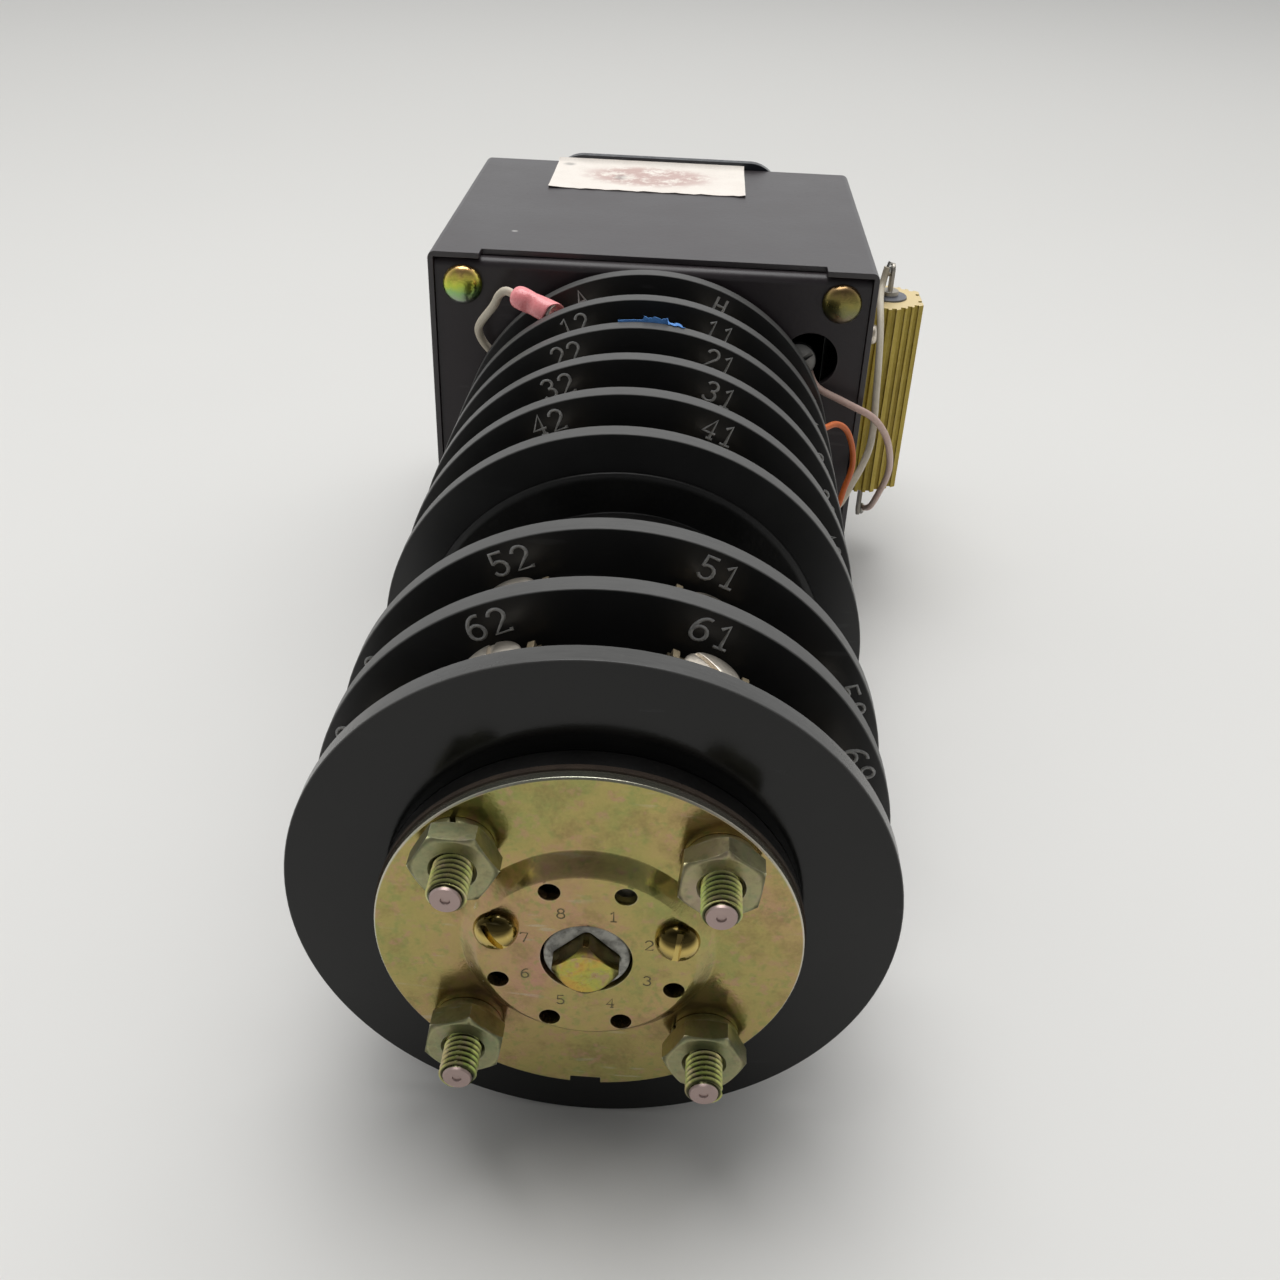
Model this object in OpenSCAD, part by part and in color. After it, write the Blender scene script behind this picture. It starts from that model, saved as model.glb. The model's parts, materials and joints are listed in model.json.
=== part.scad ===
// Panel-mounted rotary control switch with a trip mechanism, a stack of contact decks and a stop plate.
// X runs to the right seen from the handle, Y from the panel to the rear end, Z up.
// The origin is on the shaft axis, in the box's front face that seats on the panel.

/* [Box] */
// Width of the mechanism box
box_w = 93; // [91:0.5:98]
// Height of the mechanism box
box_h = 80.6; // [80:0.2:86]
// Depth of the mechanism box from the panel face to the cover's rear edge
box_d = 80.5; // [78:0.5:90]
// Thickness of the cover's sheet
cover_t = 1.2; // [0.9:0.1:1.6]
// Thickness of the front plate
front_t = 2.5; // [2:0.1:3]
// Thickness of the rear panel
rear_t = 1.6; // [1.2:0.1:2]
// How far the rear panel lies inside the cover's rear edge
rear_recess = 0.6; // [0.4:0.1:1.5]
// Depth of the rear panel's bent flanges
flange_d = 8; // [5:0.5:12]
// Width of the step cut out of the cover's top rear edge
notch_w = 71.5; // [60:0.5:74]
// Depth of that step
notch_d = 3.2; // [2:0.1:5]
// Distance of the corner posts from the sides of the box
post_inset_x = 7.1; // [7:0.1:9]
// Distance of the corner posts from the top and bottom of the box
post_inset_z = 6.7; // [6.6:0.1:8.4]
// Diameter of the corner posts
post_d = 8; // [7:0.1:9]
// Diameter of the domed bolt heads on the rear panel
bolt_head_d = 8.2; // [7.6:0.1:9]
// Height of the domed bolt heads
bolt_head_h = 2.7; // [2:0.1:3.4]
// Diameter of the large lead hole in the rear panel, on the resistor's side
lead_hole_d = 12; // [11:0.1:13]
// Distance of that hole to the side of the shaft axis
lead_hole_x = 34; // [33.5:0.1:35]
// Height of that hole over the shaft axis
lead_hole_z = 21; // [20:0.1:22]
// Diameter of the small lead hole behind the first disc
wire_hole_d = 8; // [7:0.1:8.4]
// Distance of the small hole to the side of the shaft axis
wire_hole_x = 31; // [30.6:0.1:31.6]
// Height of the small hole over the shaft axis
wire_hole_z = 15; // [14:0.1:15.6]

/* [Nameplate] */
// Width of the nameplate
plate_w = 58.5; // [57:0.5:76]
// Height of the nameplate
plate_h = 84; // [83:0.2:92]
// Thickness of the nameplate
plate_t = 2.4; // [1.6:0.1:3]
// Corner radius of the nameplate
plate_r = 8; // [4:0.5:8.5]
// Distance between the panel screw holes from side to side
panel_hole_x = 48; // [46:0.2:50]
// Distance of the panel screw holes from the top and bottom of the box
panel_hole_inset = 6.3; // [5.5:0.1:7.3]
// Diameter of the tapped panel screw holes in the front plate
panel_hole_d = 4.2; // [3.6:0.1:4.6]
// Width of the target window
window_w = 16; // [12:0.5:18]
// Height of the target window
window_h = 7; // [5:0.5:8]
// Distance of the window's centre from the top of the box
window_inset = 13.8; // [13:0.1:14.3]

/* [Handle and shaft] */
// Length of the oval handle's grip
handle_l = 70; // [60:1:80]
// Width of the grip
handle_w = 20; // [18:0.5:24]
// Height of the handle over its back face
handle_h = 34; // [30:1:40]
// Diameter of the handle's round skirt
skirt_d = 30; // [28:0.5:36]
// Gap between the nameplate and the handle
handle_gap = 1; // [0.8:0.1:1.6]
// Diameter of the shaft's round stretch
shaft_d = 9.525; // [9:0.025:10]
// Width across the flats of the shaft's square stretch
square_w = 6.35; // [6.1:0.05:6.6]
// Diameter to which the corners of the square stretch are turned
square_turned_d = 8.3; // [8:0.05:8.5]
// How far the shaft stands out of the end plate's boss
shaft_out = 2.5; // [1.5:0.1:4]
// Radial running clearance of the shaft in its bushings
shaft_gap = 0.05; // [0.03:0.01:0.09]
// Angle between the tripped and the reset position
throw_angle = 45; // [45:1:45]

/* [Decks] */
// Diameter of the barrier discs
disc_d = 79.4; // [78.6:0.1:80.2]
// Thickness of the barrier discs
disc_t = 3.2; // [2.8:0.05:3.6]
// Outer diameter of the stator rings
ring_d = 54; // [53.6:0.1:56]
// Thickness of the stator rings' wall
ring_wall = 8.5; // [8:0.1:8.8]
// Height of a stator ring, the gap between two discs
ring_h = 12.1; // [11.6:0.1:13]
// Height of the double spacer between the sixth and the seventh disc
spacer_h = 26.5; // [20:0.5:32]
// Thickness of the spacer between the box and the first disc
front_spacer_h = 3.5; // [3.2:0.1:4.5]
// Diameter of the spacer's raised land on the sixth disc
land_d = 67; // [60:0.5:72]
// Distance of the tie studs' axes from the outside of the rings
stud_inset = 4.94; // [4.8:0.02:5.04]
// Diameter of the tie studs
stud_d = 4.83; // [4.6:0.01:5]
// How far the tie studs stand out of the end plate's flange
stud_out = 9.3; // [8.6:0.1:12]
// Width across the flats of the stud nuts
nut_w = 9.525; // [9:0.025:9.8]
// Thickness of the stud nuts
nut_t = 3.3; // [2.8:0.1:4]
// Thickness of the lock washers
washer_t = 1.2; // [0.9:0.1:1.5]

/* [Terminals] */
// Distance from the shaft axis to the top of the terminal pads
pad_r = 32.9; // [32.7:0.1:33.1]
// Width of the terminal straps
strap_w = 6; // [5:0.1:6.5]
// Thickness of the terminal straps
strap_t = 1.4; // [1:0.1:1.6]
// Length of the terminal pads along the shaft
pad_l = 8.4; // [7.6:0.1:8.6]
// Width of the terminal pads from ear to ear
pad_w = 10.4; // [10.3:0.1:10.8]
// Height of the upturned ears over the pad
ear_h = 1.7; // [1.4:0.1:2]
// Diameter of the terminal screw heads
screw_head_d = 7.8; // [7.2:0.1:7.9]
// Height of the terminal screw heads
screw_head_h = 2; // [1.6:0.1:2.3]
// Diameter of the terminal screw shanks
screw_d = 3.45; // [3.2:0.05:3.5]

/* [Rear end] */
// Thickness of the stop housing behind the last disc
housing_h = 3; // [2.6:0.1:4]
// Thickness of the laminate under the end plate
gasket_t = 0.8; // [0.5:0.1:1.2]
// Thickness of the end plate's sheet
end_t = 1.4; // [1:0.1:1.6]
// Height of the end plate's pressed boss
boss_h = 2.4; // [2:0.1:3]
// Distance of the boss's foot from the tie studs' axes
boss_gap = 5.76; // [5.72:0.02:6]
// Width of the boss's sloping side
boss_slope = 2.5; // [2.2:0.1:2.8]
// Diameter of the bore in the boss
boss_bore_d = 11.5; // [11.2:0.1:12]
// Distance of the stop holes' centres from the edge of the boss's face
stop_inset = 1.8; // [1.6:0.05:1.9]
// Diameter of the stop holes
stop_hole_d = 2.7; // [2.5:0.05:2.8]
// Diameter of the stop screw heads
stop_head_d = 5.6; // [5:0.1:5.8]

/* [Trip mechanism] */
// Radius of the latch cam
cam_r = 17; // [16:0.2:17.6]
// Thickness of the latch cam
cam_t = 4; // [3:0.2:5]
// Depth of the latch notch
cam_notch = 2.2; // [1.8:0.1:2.4]
// Stroke of the solenoid plunger
plunger_stroke = 3; // [2.4:0.1:3.2]
// Diameter of the plunger
plunger_d = 6.2; // [5.6:0.1:6.4]
// Outer diameter of the coil
coil_d = 13.6; // [12.8:0.1:13.8]
// Length of the coil
coil_l = 30; // [26:0.5:32]
// Mean diameter of the torsion spring
spring_d = 24; // [22.4:0.2:26]
// Diameter of the spring's wire
spring_wire = 2.2; // [1.8:0.1:2.6]
// Number of turns of the torsion spring
spring_turns = 6; // [4:1:8]

/* [Resistor] */
// Length of the resistor's finned housing
res_l = 46; // [42:0.5:50]
// Height of the resistor over the box side
res_h = 14.8; // [13.8:0.1:15.8]
// Width of the resistor's foot
res_foot_w = 28; // [27.6:0.1:29.5]
// Width of the resistor's body over the foot
res_body_w = 18; // [16:0.2:18.2]
// Width of the body's flat outer face
res_face_w = 9.6; // [8:0.2:11]
// Distance of the resistor's axis behind the panel face
res_y = 47.5; // [44:0.5:52]
// Height of the resistor's middle over the shaft axis
res_z = 2; // [0:0.5:4]
// Length of the lower terminal lug
lug_l = 10.3; // [9.8:0.1:11]
// Length of the upper terminal lug
top_lug_l = 7.4; // [7.2:0.1:8.4]

/* [Leads] */
// Diameter of the white, pink and orange leads
lead_d = 1.8; // [1.6:0.1:2]
// Diameter of the crimp sleeve
sleeve_d = 4.6; // [4:0.1:5]

/* [Hidden] */
$fn = 64;

// Clearance of a part that is slipped over or into another
fit = 0.1;
// Hairline between parts that only lie against each other
seat = 0.02;
// Surfaces are cut through by this much
cut = 1;

// Half sizes of the box
half_w = box_w / 2;
half_h = box_h / 2;
// Rear panel's outer and inner face
rear_y = box_d - rear_recess;
rear_in_y = rear_y - rear_t;
// Panel screw holes and the target window keep their distance from the box's top
panel_hole_z = box_h - 2 * panel_hole_inset;
window_z = half_h - window_inset;
post_x = half_w - post_inset_x;
post_z = half_h - post_inset_z;
spigot_d = post_d * 0.6;
bolt_shank_d = 4.1;
// Size of the plates that fit inside the cover
inner_w = box_w - 2 * cover_t - 2 * fit;
inner_h = box_h - 2 * cover_t - 2 * fit;

// Discs stand one ring apart, and the double spacer lies behind the sixth
last_front_disc = 6;
disc_count = 9;
deck_pitch = disc_t + ring_h;
disc_y0 = rear_y + front_spacer_h;
function disc_y(k) = disc_y0 + (k - 1) * deck_pitch + (k > last_front_disc ? spacer_h - ring_h : 0);
// Deck number d lies behind disc d, or behind disc d + 1 after the double spacer
function deck_disc(d) = d < last_front_disc ? d : d + 1;
function deck_y(d) = disc_y(deck_disc(d)) + disc_t;
function deck_mid(d) = deck_y(d) + ring_h / 2;
deck_count = 7;

// Rings' bore, and the end plate's boss inside the circle of nuts
ring_bore_d = ring_d - 2 * ring_wall;
boss_foot_d = 2 * (ring_d / 2 - stud_inset - boss_gap);
boss_face_d = boss_foot_d - 2 * boss_slope;
stop_r = boss_face_d / 2 - stop_inset;

// Rear end's levels along the shaft
housing_y = disc_y(disc_count) + disc_t;
gasket_y = housing_y + housing_h;
end_y = gasket_y + gasket_t;
end_face_y = end_y + end_t;
boss_y = end_face_y + boss_h;
shaft_end_y = boss_y + shaft_out;
stud_end_y = end_face_y + stud_out;

// Tie studs stand at the corners of a square
stud_circle_r = ring_d / 2 - stud_inset;
stud_pitch = stud_circle_r * sqrt(2);
stud_xz = [for (sx = [-1, 1], sz = [-1, 1]) [sx * stud_pitch / 2, sz * stud_pitch / 2]];
stud_hole_d = stud_d + 0.3;
stud_y0 = rear_in_y - nut_t - 1.2;

// Eight terminals on each deck, at 22.5 degrees and every 45 degrees on, from +Z towards +X
station = 45;
station_angles = [for (k = [0 : 7]) 22.5 + station * k];
// The stop screws stand in holes seven and two
stop_angles = [67.5, -67.5];
// The handle, the shaft's square and the stop arm turn together; at rest the switch is tripped
handle_rest = -throw_angle;
arm_rest = -throw_angle / 2;
stop_screw_d = 2.6;
arm_r = stop_r + 1.3;
stop_cavity_d = 2 * (arm_r + 0.4);
arm_half = 67.5 - throw_angle / 2 - asin((stop_screw_d / 2 + 0.15) / stop_r);

// Terminal pad's thickness and the strap's place in front of the deck's middle
pad_t = 1.6;
ear_t = 1;
strap_off = -(pad_l - strap_t) / 2 + 0.3;
strap_in_r = ring_bore_d / 2 - 3;
head_gap = 0.9;
screw_tip_r = ring_d / 2 + 0.6;

// Rotor and its double blades
rotor_d = ring_bore_d - 14;
rotor_h = ring_h - 1.2;
blade_t = 0.8;
blade_gap = 0.3;
blade_w = 5;
blade_r = ring_bore_d / 2 - 0.9;

// Handle's levels in front of the nameplate
handle_back_y = -plate_t - handle_gap;
handle_front_y = handle_back_y - handle_h;
shaft_front_y = handle_back_y - 0.65 * handle_h;
hand_screw_r = 2.1;

// Bushings
bush_d = 16;
bush_flange_d = 20;
bush_flange_t = 2.5;

// Target flag behind the front bushing
flag_y = front_t + bush_flange_t + 0.8;
flag_t = 0.9;
flag_r = window_z + 5;
flag_hub_d = 18;
window_half_angle = 22;

// Latch cam, lever and solenoid lie in one plane at a fixed distance from the rear panel
cam_y = rear_in_y - 12.3;
cam_hub_d = 17;
cam_hub_h = 12;
nose_gap = 0.4;
nose_half_h = 1.6;
lever_t = 3;
lever_y = cam_y + (cam_t - lever_t) / 2;
pivot_x = cam_r + 9;
pivot_z = 26.3 - half_h;
tail_l = 16;
lever_angle = plunger_stroke / tail_l * 180 / PI;
pivot_d = 4;
coil_z = pivot_z - tail_l;
coil_y = lever_y + lever_t / 2;
coil_x1 = pivot_x - 10;
coil_x0 = coil_x1 - coil_l;
frame_t = 1.5;
rivet_d = 2.8;

// Torsion spring between the target flag and the cam
spring_y0 = 15;
spring_y1 = cam_y - 12;
dog_d = 4;
dog_r = spring_d / 2 + 0.5;
// The spring is drawn wound, as in the reset position, its legs clear of the dog and the anchor
leg_gap = asin((dog_d / 2 + 0.3) / (spring_d / 2));
spring_a1 = 90 - throw_angle - leg_gap;
spring_sweep = 360 * spring_turns + 144;
anchor_a = spring_a1 - spring_sweep - leg_gap;

// Resistor on the box's side, which is the negative X side
res_x = -half_w;
res_axis_h = 7.4;
res_foot_t = 2.4;
res_top_z = res_z + res_l / 2;
res_bottom_z = res_z - res_l / 2;
core_d = 8;
lug_w = 3.2;
lug_t = 0.8;

// Small pan-head screws, two in the nameplate and two in the resistor's foot
small_head_d = 6.6;
small_head_h = 2;
small_d = 3.4;
name_screw_x = plate_w / 2 - 4;
foot_head_d = 4.4;
foot_screw_d = 2.5;
res_screw_dz = res_l / 2 - 5;
res_screw_dy = res_foot_w / 2 - 2.4;

// Routes of the leads, in millimetres: along Y from the first disc or from the resistor, and beside the
// box from its side
d1 = disc_y0;
left_lead_points = [[wire_hole_x, rear_y - 5.9, wire_hole_z], [wire_hole_x, rear_y - 1, wire_hole_z + 0.3],
    [32.1, d1 - 2.2, 17.4], [33.6, d1 - 1.6, 20], [35.1, d1 - 0.7, 22.3], [35.8, d1 + 0.9, 25.4],
    [34.6, d1 + 2.6, 28.2], [31.6, d1 + 5.6, 32.4], [30.4, d1 + 7, 35], [28.8, d1 + 8, 36.5],
    [27.1, d1 + 8.7, 36]];
side_x = -half_w;
top_lead_points = [[side_x - 6.05, res_y + 0.4, res_top_z + 7], [side_x - 5.4, res_y + 0.9, res_top_z + 3.5],
    [side_x - 4.9, res_y + 3.5, res_top_z + 1.9], [side_x - 4.3, res_y + 8.5, res_top_z + 1.4],
    [side_x - 4, res_y + 13.5, res_top_z + 0.2], [side_x - 3.9, res_y + 17.5, res_top_z - 2.3],
    [side_x - 3.7, box_d - 10.5, 18.2], [side_x - 3.4, box_d - 5.5, 12.3], [side_x - 3.3, box_d - 2.1, 7.2],
    [side_x - 2.8, box_d + 0.7, 2.4], [side_x - 0.9, d1 + 0.6, -1.9], [side_x + 1, d1 + 2.6, -4.9],
    [-43.4, d1 + 4.4, -8.9], [-39.6, d1 + 5, -11.8], [-35.4, d1 + 4.7, -13], [-31.5, d1 + 4.6, -13]];
pink_lead_points = [[-34.4, rear_y - 5.9, 18.4], [-34.7, rear_y - 1.9, 17.4], [-36.2, d1 - 2.2, 15.5],
    [-40.4, d1 - 0.8, 14], [-44.7, d1 + 0.6, 12.5], [side_x - 2.5, d1 - 0.8, 9.9],
    [side_x - 6.4, box_d - 2, 4], [side_x - 9, box_d - 8, -3.5], [side_x - 10.3, res_y + 19, -10.9],
    [side_x - 9.7, res_y + 13, -19.2], [side_x - 9.2, res_y + 7.5, res_bottom_z - 4.6],
    [side_x - 8.85, res_y + 1.1, res_bottom_z - 8.2]];
orange_lead_points = [[-32, d1 + 14.25, 13.2], [-34.8, d1 + 13.7, 12.9], [-37.4, d1 + 11.6, 12.4],
    [-39.4, d1 + 9.6, 12.6], [-41.7, d1 + 8.1, 11.3], [-43.4, d1 + 7.2, 8.5], [-44.6, d1 + 6.8, 4.2],
    [-44.6, d1 + 7, 0.6], [-43.5, d1 + 7.8, -2.9], [-42.7, d1 + 9, -6.2], [-40.8, d1 + 11, -9.4],
    [-37.8, d1 + 13, -11.8], [-34.8, d1 + 13.8, -12.9], [-32, d1 + 14.25, -13.2]];
// Ends of the crimp sleeve's axis
sleeve_points = [[18.6, d1 + 12, 33.6], [26.8, d1 + 8.8, 35.9]];

// A 2D shape drawn in X and Z, given a thickness along Y from y0 on
module slab(y0, t) {
    translate([0, y0 + t, 0]) rotate([90, 0, 0]) linear_extrude(t) children();
}

// A round bar along Y
module bar(y0, y1, d) {
    translate([0, y0, 0]) rotate([-90, 0, 0]) cylinder(h = y1 - y0, d = d);
}

// A round rod between two points
module rod(a, b, d) {
    v = b - a;
    translate(a) rotate([0, acos(v[2] / norm(v)), atan2(v[1], v[0])]) cylinder(h = norm(v), d = d);
}

// A profile of radius and Y turned round the shaft axis
module turned() {
    rotate([-90, 0, 0]) rotate_extrude($fn = 96) children();
}

// Children at the four corner posts
module at_posts() {
    for (sx = [-1, 1], sz = [-1, 1]) translate([sx * post_x, 0, sz * post_z]) children();
}

// Children at the four tie studs
module at_studs() {
    for (p = stud_xz) translate([p[0], 0, p[1]]) children();
}

// A wedge between two angles from +Z towards +X
module wedge(a0, a1, r) {
    polygon(concat([[0, 0]], [for (i = [0 : 6]) let (a = a0 + (a1 - a0) * i / 6) r * [sin(a), cos(a)]]));
}

// A rectangle with true round corners
module round_rect(w, h, r) {
    square([w - 2 * r, h], center = true);
    square([w, h - 2 * r], center = true);
    for (sx = [-1, 1], sz = [-1, 1]) translate([sx * (w / 2 - r), sz * (h / 2 - r)]) circle(r);
}

// The shaft's square, a diamond with turned corners
module square_section(gap = 0) {
    intersection() {
        rotate(45) square(square_w + 2 * gap, center = true);
        circle(d = square_turned_d + 2 * gap);
    }
}

// A hexagonal nut along Y with chamfered corners and a clear bore
module hex_nut(y0, turn) {
    corner_d = nut_w / cos(30);
    flat_r = nut_w / 2 - 0.1;
    out_r = corner_d / 2 + 0.3;
    cham = (out_r - flat_r) * 0.5;
    translate([0, y0, 0]) difference() {
        intersection() {
            rotate([0, turn, 0]) slab(0, nut_t) circle(d = corner_d, $fn = 6);
            turned() polygon([[0, 0], [flat_r, 0], [out_r, cham], [out_r, nut_t - cham], [flat_r, nut_t],
                [0, nut_t]]);
        }
        bar(-cut, nut_t + cut, stud_d + fit);
    }
}

// A turned screw head with a slot, standing on the XY plane along +Z
module slotted_head(d, h, slot_w, slot_d, dome) {
    edge_h = h * (1 - dome);
    difference() {
        rotate_extrude($fn = 48) polygon(concat([[0, 0], [d / 2, 0], [d / 2, edge_h]],
            [for (a = [15 : 15 : 90]) [d / 2 * cos(a), edge_h + (h - edge_h) * sin(a)]]));
        translate([-d, -slot_w / 2, h - slot_d]) cube([2 * d, slot_w, slot_d + cut]);
    }
}

// A tube along a route, with eight sides
function unit(v) = v / norm(v);
function tangent(p, i) = unit(p[min(i + 1, len(p) - 1)] - p[max(i - 1, 0)]);
function side_of(t) = unit(cross(t, abs(t[2]) < 0.9 ? [0, 0, 1] : [1, 0, 0]));
function carried(p, i) = i == 0 ? side_of(tangent(p, 0)) :
    let (s = carried(p, i - 1), t = tangent(p, i)) unit(s - (s * t) * t);
function spline(p, i, u) = let (
    a = p[max(i - 1, 0)], b = p[i], c = p[i + 1], d = p[min(i + 2, len(p) - 1)])
    0.5 * (2 * b + (c - a) * u + (2 * a - 5 * b + 4 * c - d) * u * u + (3 * b - a - 3 * c + d) * u * u * u);
function smooth(p) = concat([for (i = [0 : len(p) - 2], u = [0, 0.5]) spline(p, i, u)], [p[len(p) - 1]]);
module tube(route, d, sides = 8) {
    n = len(route);
    frames = [for (i = [0 : n - 1]) let (t = tangent(route, i), s = carried(route, i)) [s, cross(t, s)]];
    points = [for (i = [0 : n - 1], k = [0 : sides - 1]) let (a = 360 * k / sides)
        route[i] + d / 2 * (cos(a) * frames[i][0] + sin(a) * frames[i][1])];
    walls = [for (i = [0 : n - 2], k = [0 : sides - 1])
        let (a = i * sides, b = a + sides, m = (k + 1) % sides) [a + k, a + m, b + m, b + k]];
    polyhedron(points, concat(walls, [[for (k = [sides - 1 : -1 : 0]) k]],
        [[for (k = [0 : sides - 1]) (n - 1) * sides + k]]), convexity = 6);
}

// Front plate with the bushing hole, the tapped panel holes and the target window
module front_plate() {
    color("dimgray") {
        difference() {
            slab(0, front_t) square([inner_w, inner_h], center = true);
            bar(-cut, front_t + cut, bush_d + 2 * seat);
            panel_holes(panel_hole_d);
            name_screw_holes(small_d + fit);
            at_posts() bar(-cut, front_t + cut, spigot_d);
            target_window();
        }
        rotate([0, -anchor_a, 0]) translate([dog_r, 0, 0]) bar(front_t - 0.5, spring_y0 + 3, dog_d);
    }
}

module panel_holes(d) {
    for (sx = [-1, 1], sz = [-1, 1]) translate([sx * panel_hole_x / 2, 0, sz * panel_hole_z / 2])
        bar(-plate_t - cut, front_t + cut, d);
}

module name_screw_holes(d) {
    for (sx = [-1, 1]) translate([sx * name_screw_x, 0, 0]) bar(-plate_t - cut, front_t + cut, d);
}

module target_window() {
    translate([-window_w / 2, -plate_t - cut, window_z - window_h / 2])
        cube([window_w, plate_t + front_t + 2 * cut, window_h]);
}

// Rear panel with bent flanges, lead holes and the headed stud that carries the latch lever
module rear_panel() {
    bend_r = 2;
    color("#2b2427") difference() {
        union() {
            difference() {
                rotate([90, 0, 90]) translate([0, 0, -inner_w / 2]) linear_extrude(inner_w) difference() {
                    channel(rear_y, inner_h, flange_d, bend_r);
                    channel(rear_in_y, inner_h - 2 * rear_t, flange_d + cut, bend_r - 1);
                }
                at_posts() bar(rear_in_y - flange_d - cut, rear_in_y, post_d + 1);
            }
            translate([pivot_x, 0, pivot_z]) {
                bar(lever_y - 0.9, rear_in_y + cut / 2, pivot_d);
                bar(lever_y - 1, lever_y - 0.2, pivot_d + 2);
                bar(lever_y + lever_t + 0.2, rear_in_y + cut / 2, pivot_d + 3);
            }
        }
        translate([-lead_hole_x, 0, lead_hole_z]) bar(rear_in_y - cut, rear_y + cut, lead_hole_d);
        translate([wire_hole_x, 0, wire_hole_z]) bar(rear_in_y - cut, rear_y + cut, wire_hole_d);
        at_posts() bar(rear_in_y - cut, rear_y + cut, bolt_shank_d + fit);
        bar(rear_in_y - cut, rear_y + cut, bush_d + 2 * seat);
        at_studs() bar(rear_in_y - cut, rear_y + cut, stud_hole_d);
        at_rivets() bar(rear_in_y - cut, rear_y + cut, rivet_d + fit);
    }
}

// Outline of a channel seen from the side, its back at y1 and its lips towards the front
module channel(y1, h, depth, r) {
    translate([y1 - depth, -h / 2]) square([depth - r, h]);
    translate([y1 - depth, -h / 2 + r]) square([depth, h - 2 * r]);
    for (s = [-1, 1]) translate([y1 - r, s * (h / 2 - r)]) circle(r);
}

// Wrap-round cover with its seam along the middle of the bottom
module box_cover() {
    seam_w = 0.8;
    color("#3a3032") difference() {
        slab(0, box_d) difference() {
            round_rect(box_w, box_h, 1.6);
            square([box_w - 2 * cover_t, box_h - 2 * cover_t], center = true);
        }
        translate([-notch_w / 2, box_d - notch_d, half_h - cover_t - cut])
            cube([notch_w, notch_d + cut, cover_t + 2 * cut]);
        translate([-seam_w / 2, -cut, -half_h - cut]) cube([seam_w, box_d + 2 * cut, cover_t + 2 * cut]);
        at_foot_screws() translate([-cut, 0, 0]) rotate([0, 90, 0])
            cylinder(h = cover_t + 2 * cut, d = foot_screw_d + fit);
    }
}

// Posts between the front plate and the rear panel, riveted into the front plate
module corner_posts() {
    color("darkgray") at_posts() difference() {
        union() {
            bar(front_t + seat, rear_in_y - seat, post_d);
            bar(0.2, front_t + 1, spigot_d - 2 * seat);
        }
        bar(rear_in_y - 14, rear_in_y + cut, bolt_shank_d + fit);
    }
}

// Domed bolts through the rear panel into the posts
module box_bolts() {
    head_y = rear_y + seat;
    edge = 0.4;
    head_r = bolt_head_d / 2;
    shank_r = bolt_shank_d / 2;
    color("goldenrod") at_posts() turned() polygon(concat(
        [[0, rear_y - 10], [shank_r, rear_y - 10], [shank_r, head_y], [head_r, head_y]],
        [for (a = [0 : 10 : 90]) [head_r * cos(a), head_y + edge + (bolt_head_h - edge) * sin(a)]]));
}

// Nameplate with clear holes for the panel screws and the target window
module nameplate() {
    color("#1b2230") difference() {
        slab(-plate_t, plate_t - seat) round_rect(plate_w, plate_h, plate_r);
        bar(-plate_t - cut, cut, bush_d + 1);
        panel_holes(panel_hole_d + 0.9);
        name_screw_holes(small_d + 0.4);
        target_window();
    }
}

// Two screws hold the nameplate, two hold the resistor
module small_screws() {
    color("silver") {
        for (sx = [-1, 1]) translate([sx * name_screw_x, -plate_t - seat, 0])
            rotate([90, 0, 0]) small_screw(plate_t + front_t, small_head_d, small_d);
        at_foot_screws() translate([-res_foot_t - 2 * seat, 0, 0]) rotate([0, -90, 0])
            small_screw(res_foot_t + cover_t + 2, foot_head_d, foot_screw_d);
    }
}

// Children at the resistor's foot screws, on the box's side
module at_foot_screws() {
    for (s = [-1, 1]) translate([res_x, res_y + s * res_screw_dy, res_z + s * res_screw_dz]) children();
}

module small_screw(shank_l, head_d, shank_d) {
    slotted_head(head_d, small_head_h, 0.9, 1, 0.6);
    translate([0, 0, -shank_l]) cylinder(h = shank_l + 0.5, d = shank_d);
}

// Flanged bushings in the front plate and the rear panel
module shaft_bushings() {
    bore = shaft_d + 2 * shaft_gap;
    color("darkgoldenrod") difference() {
        union() {
            bar(-plate_t + 0.4, front_t + 1, bush_d);
            bar(front_t + seat, front_t + bush_flange_t, bush_flange_d);
            bar(rear_in_y - bush_flange_t, rear_in_y - seat, bush_flange_d);
            bar(rear_in_y - 1, rear_y + 1, bush_d);
        }
        bar(-plate_t, rear_y + 1 + cut, bore);
    }
}

// One-piece shaft: round through the box, square through the decks, its end chamfered
module shaft() {
    square_y = disc_y0 - 1;
    cham = 1.1;
    color("#b5a24a") difference() {
        union() {
            bar(shaft_front_y, square_y, shaft_d);
            intersection() {
                slab(square_y - 1, shaft_end_y - square_y + 1) square_section();
                turned() polygon([[0, square_y - 2], [shaft_d / 2, square_y - 2],
                    [shaft_d / 2, shaft_end_y - cham], [square_turned_d / 2 - cham, shaft_end_y],
                    [0, shaft_end_y]]);
            }
        }
        bar(shaft_front_y - cut, shaft_front_y + 14, 2 * hand_screw_r + fit);
    }
}

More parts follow.
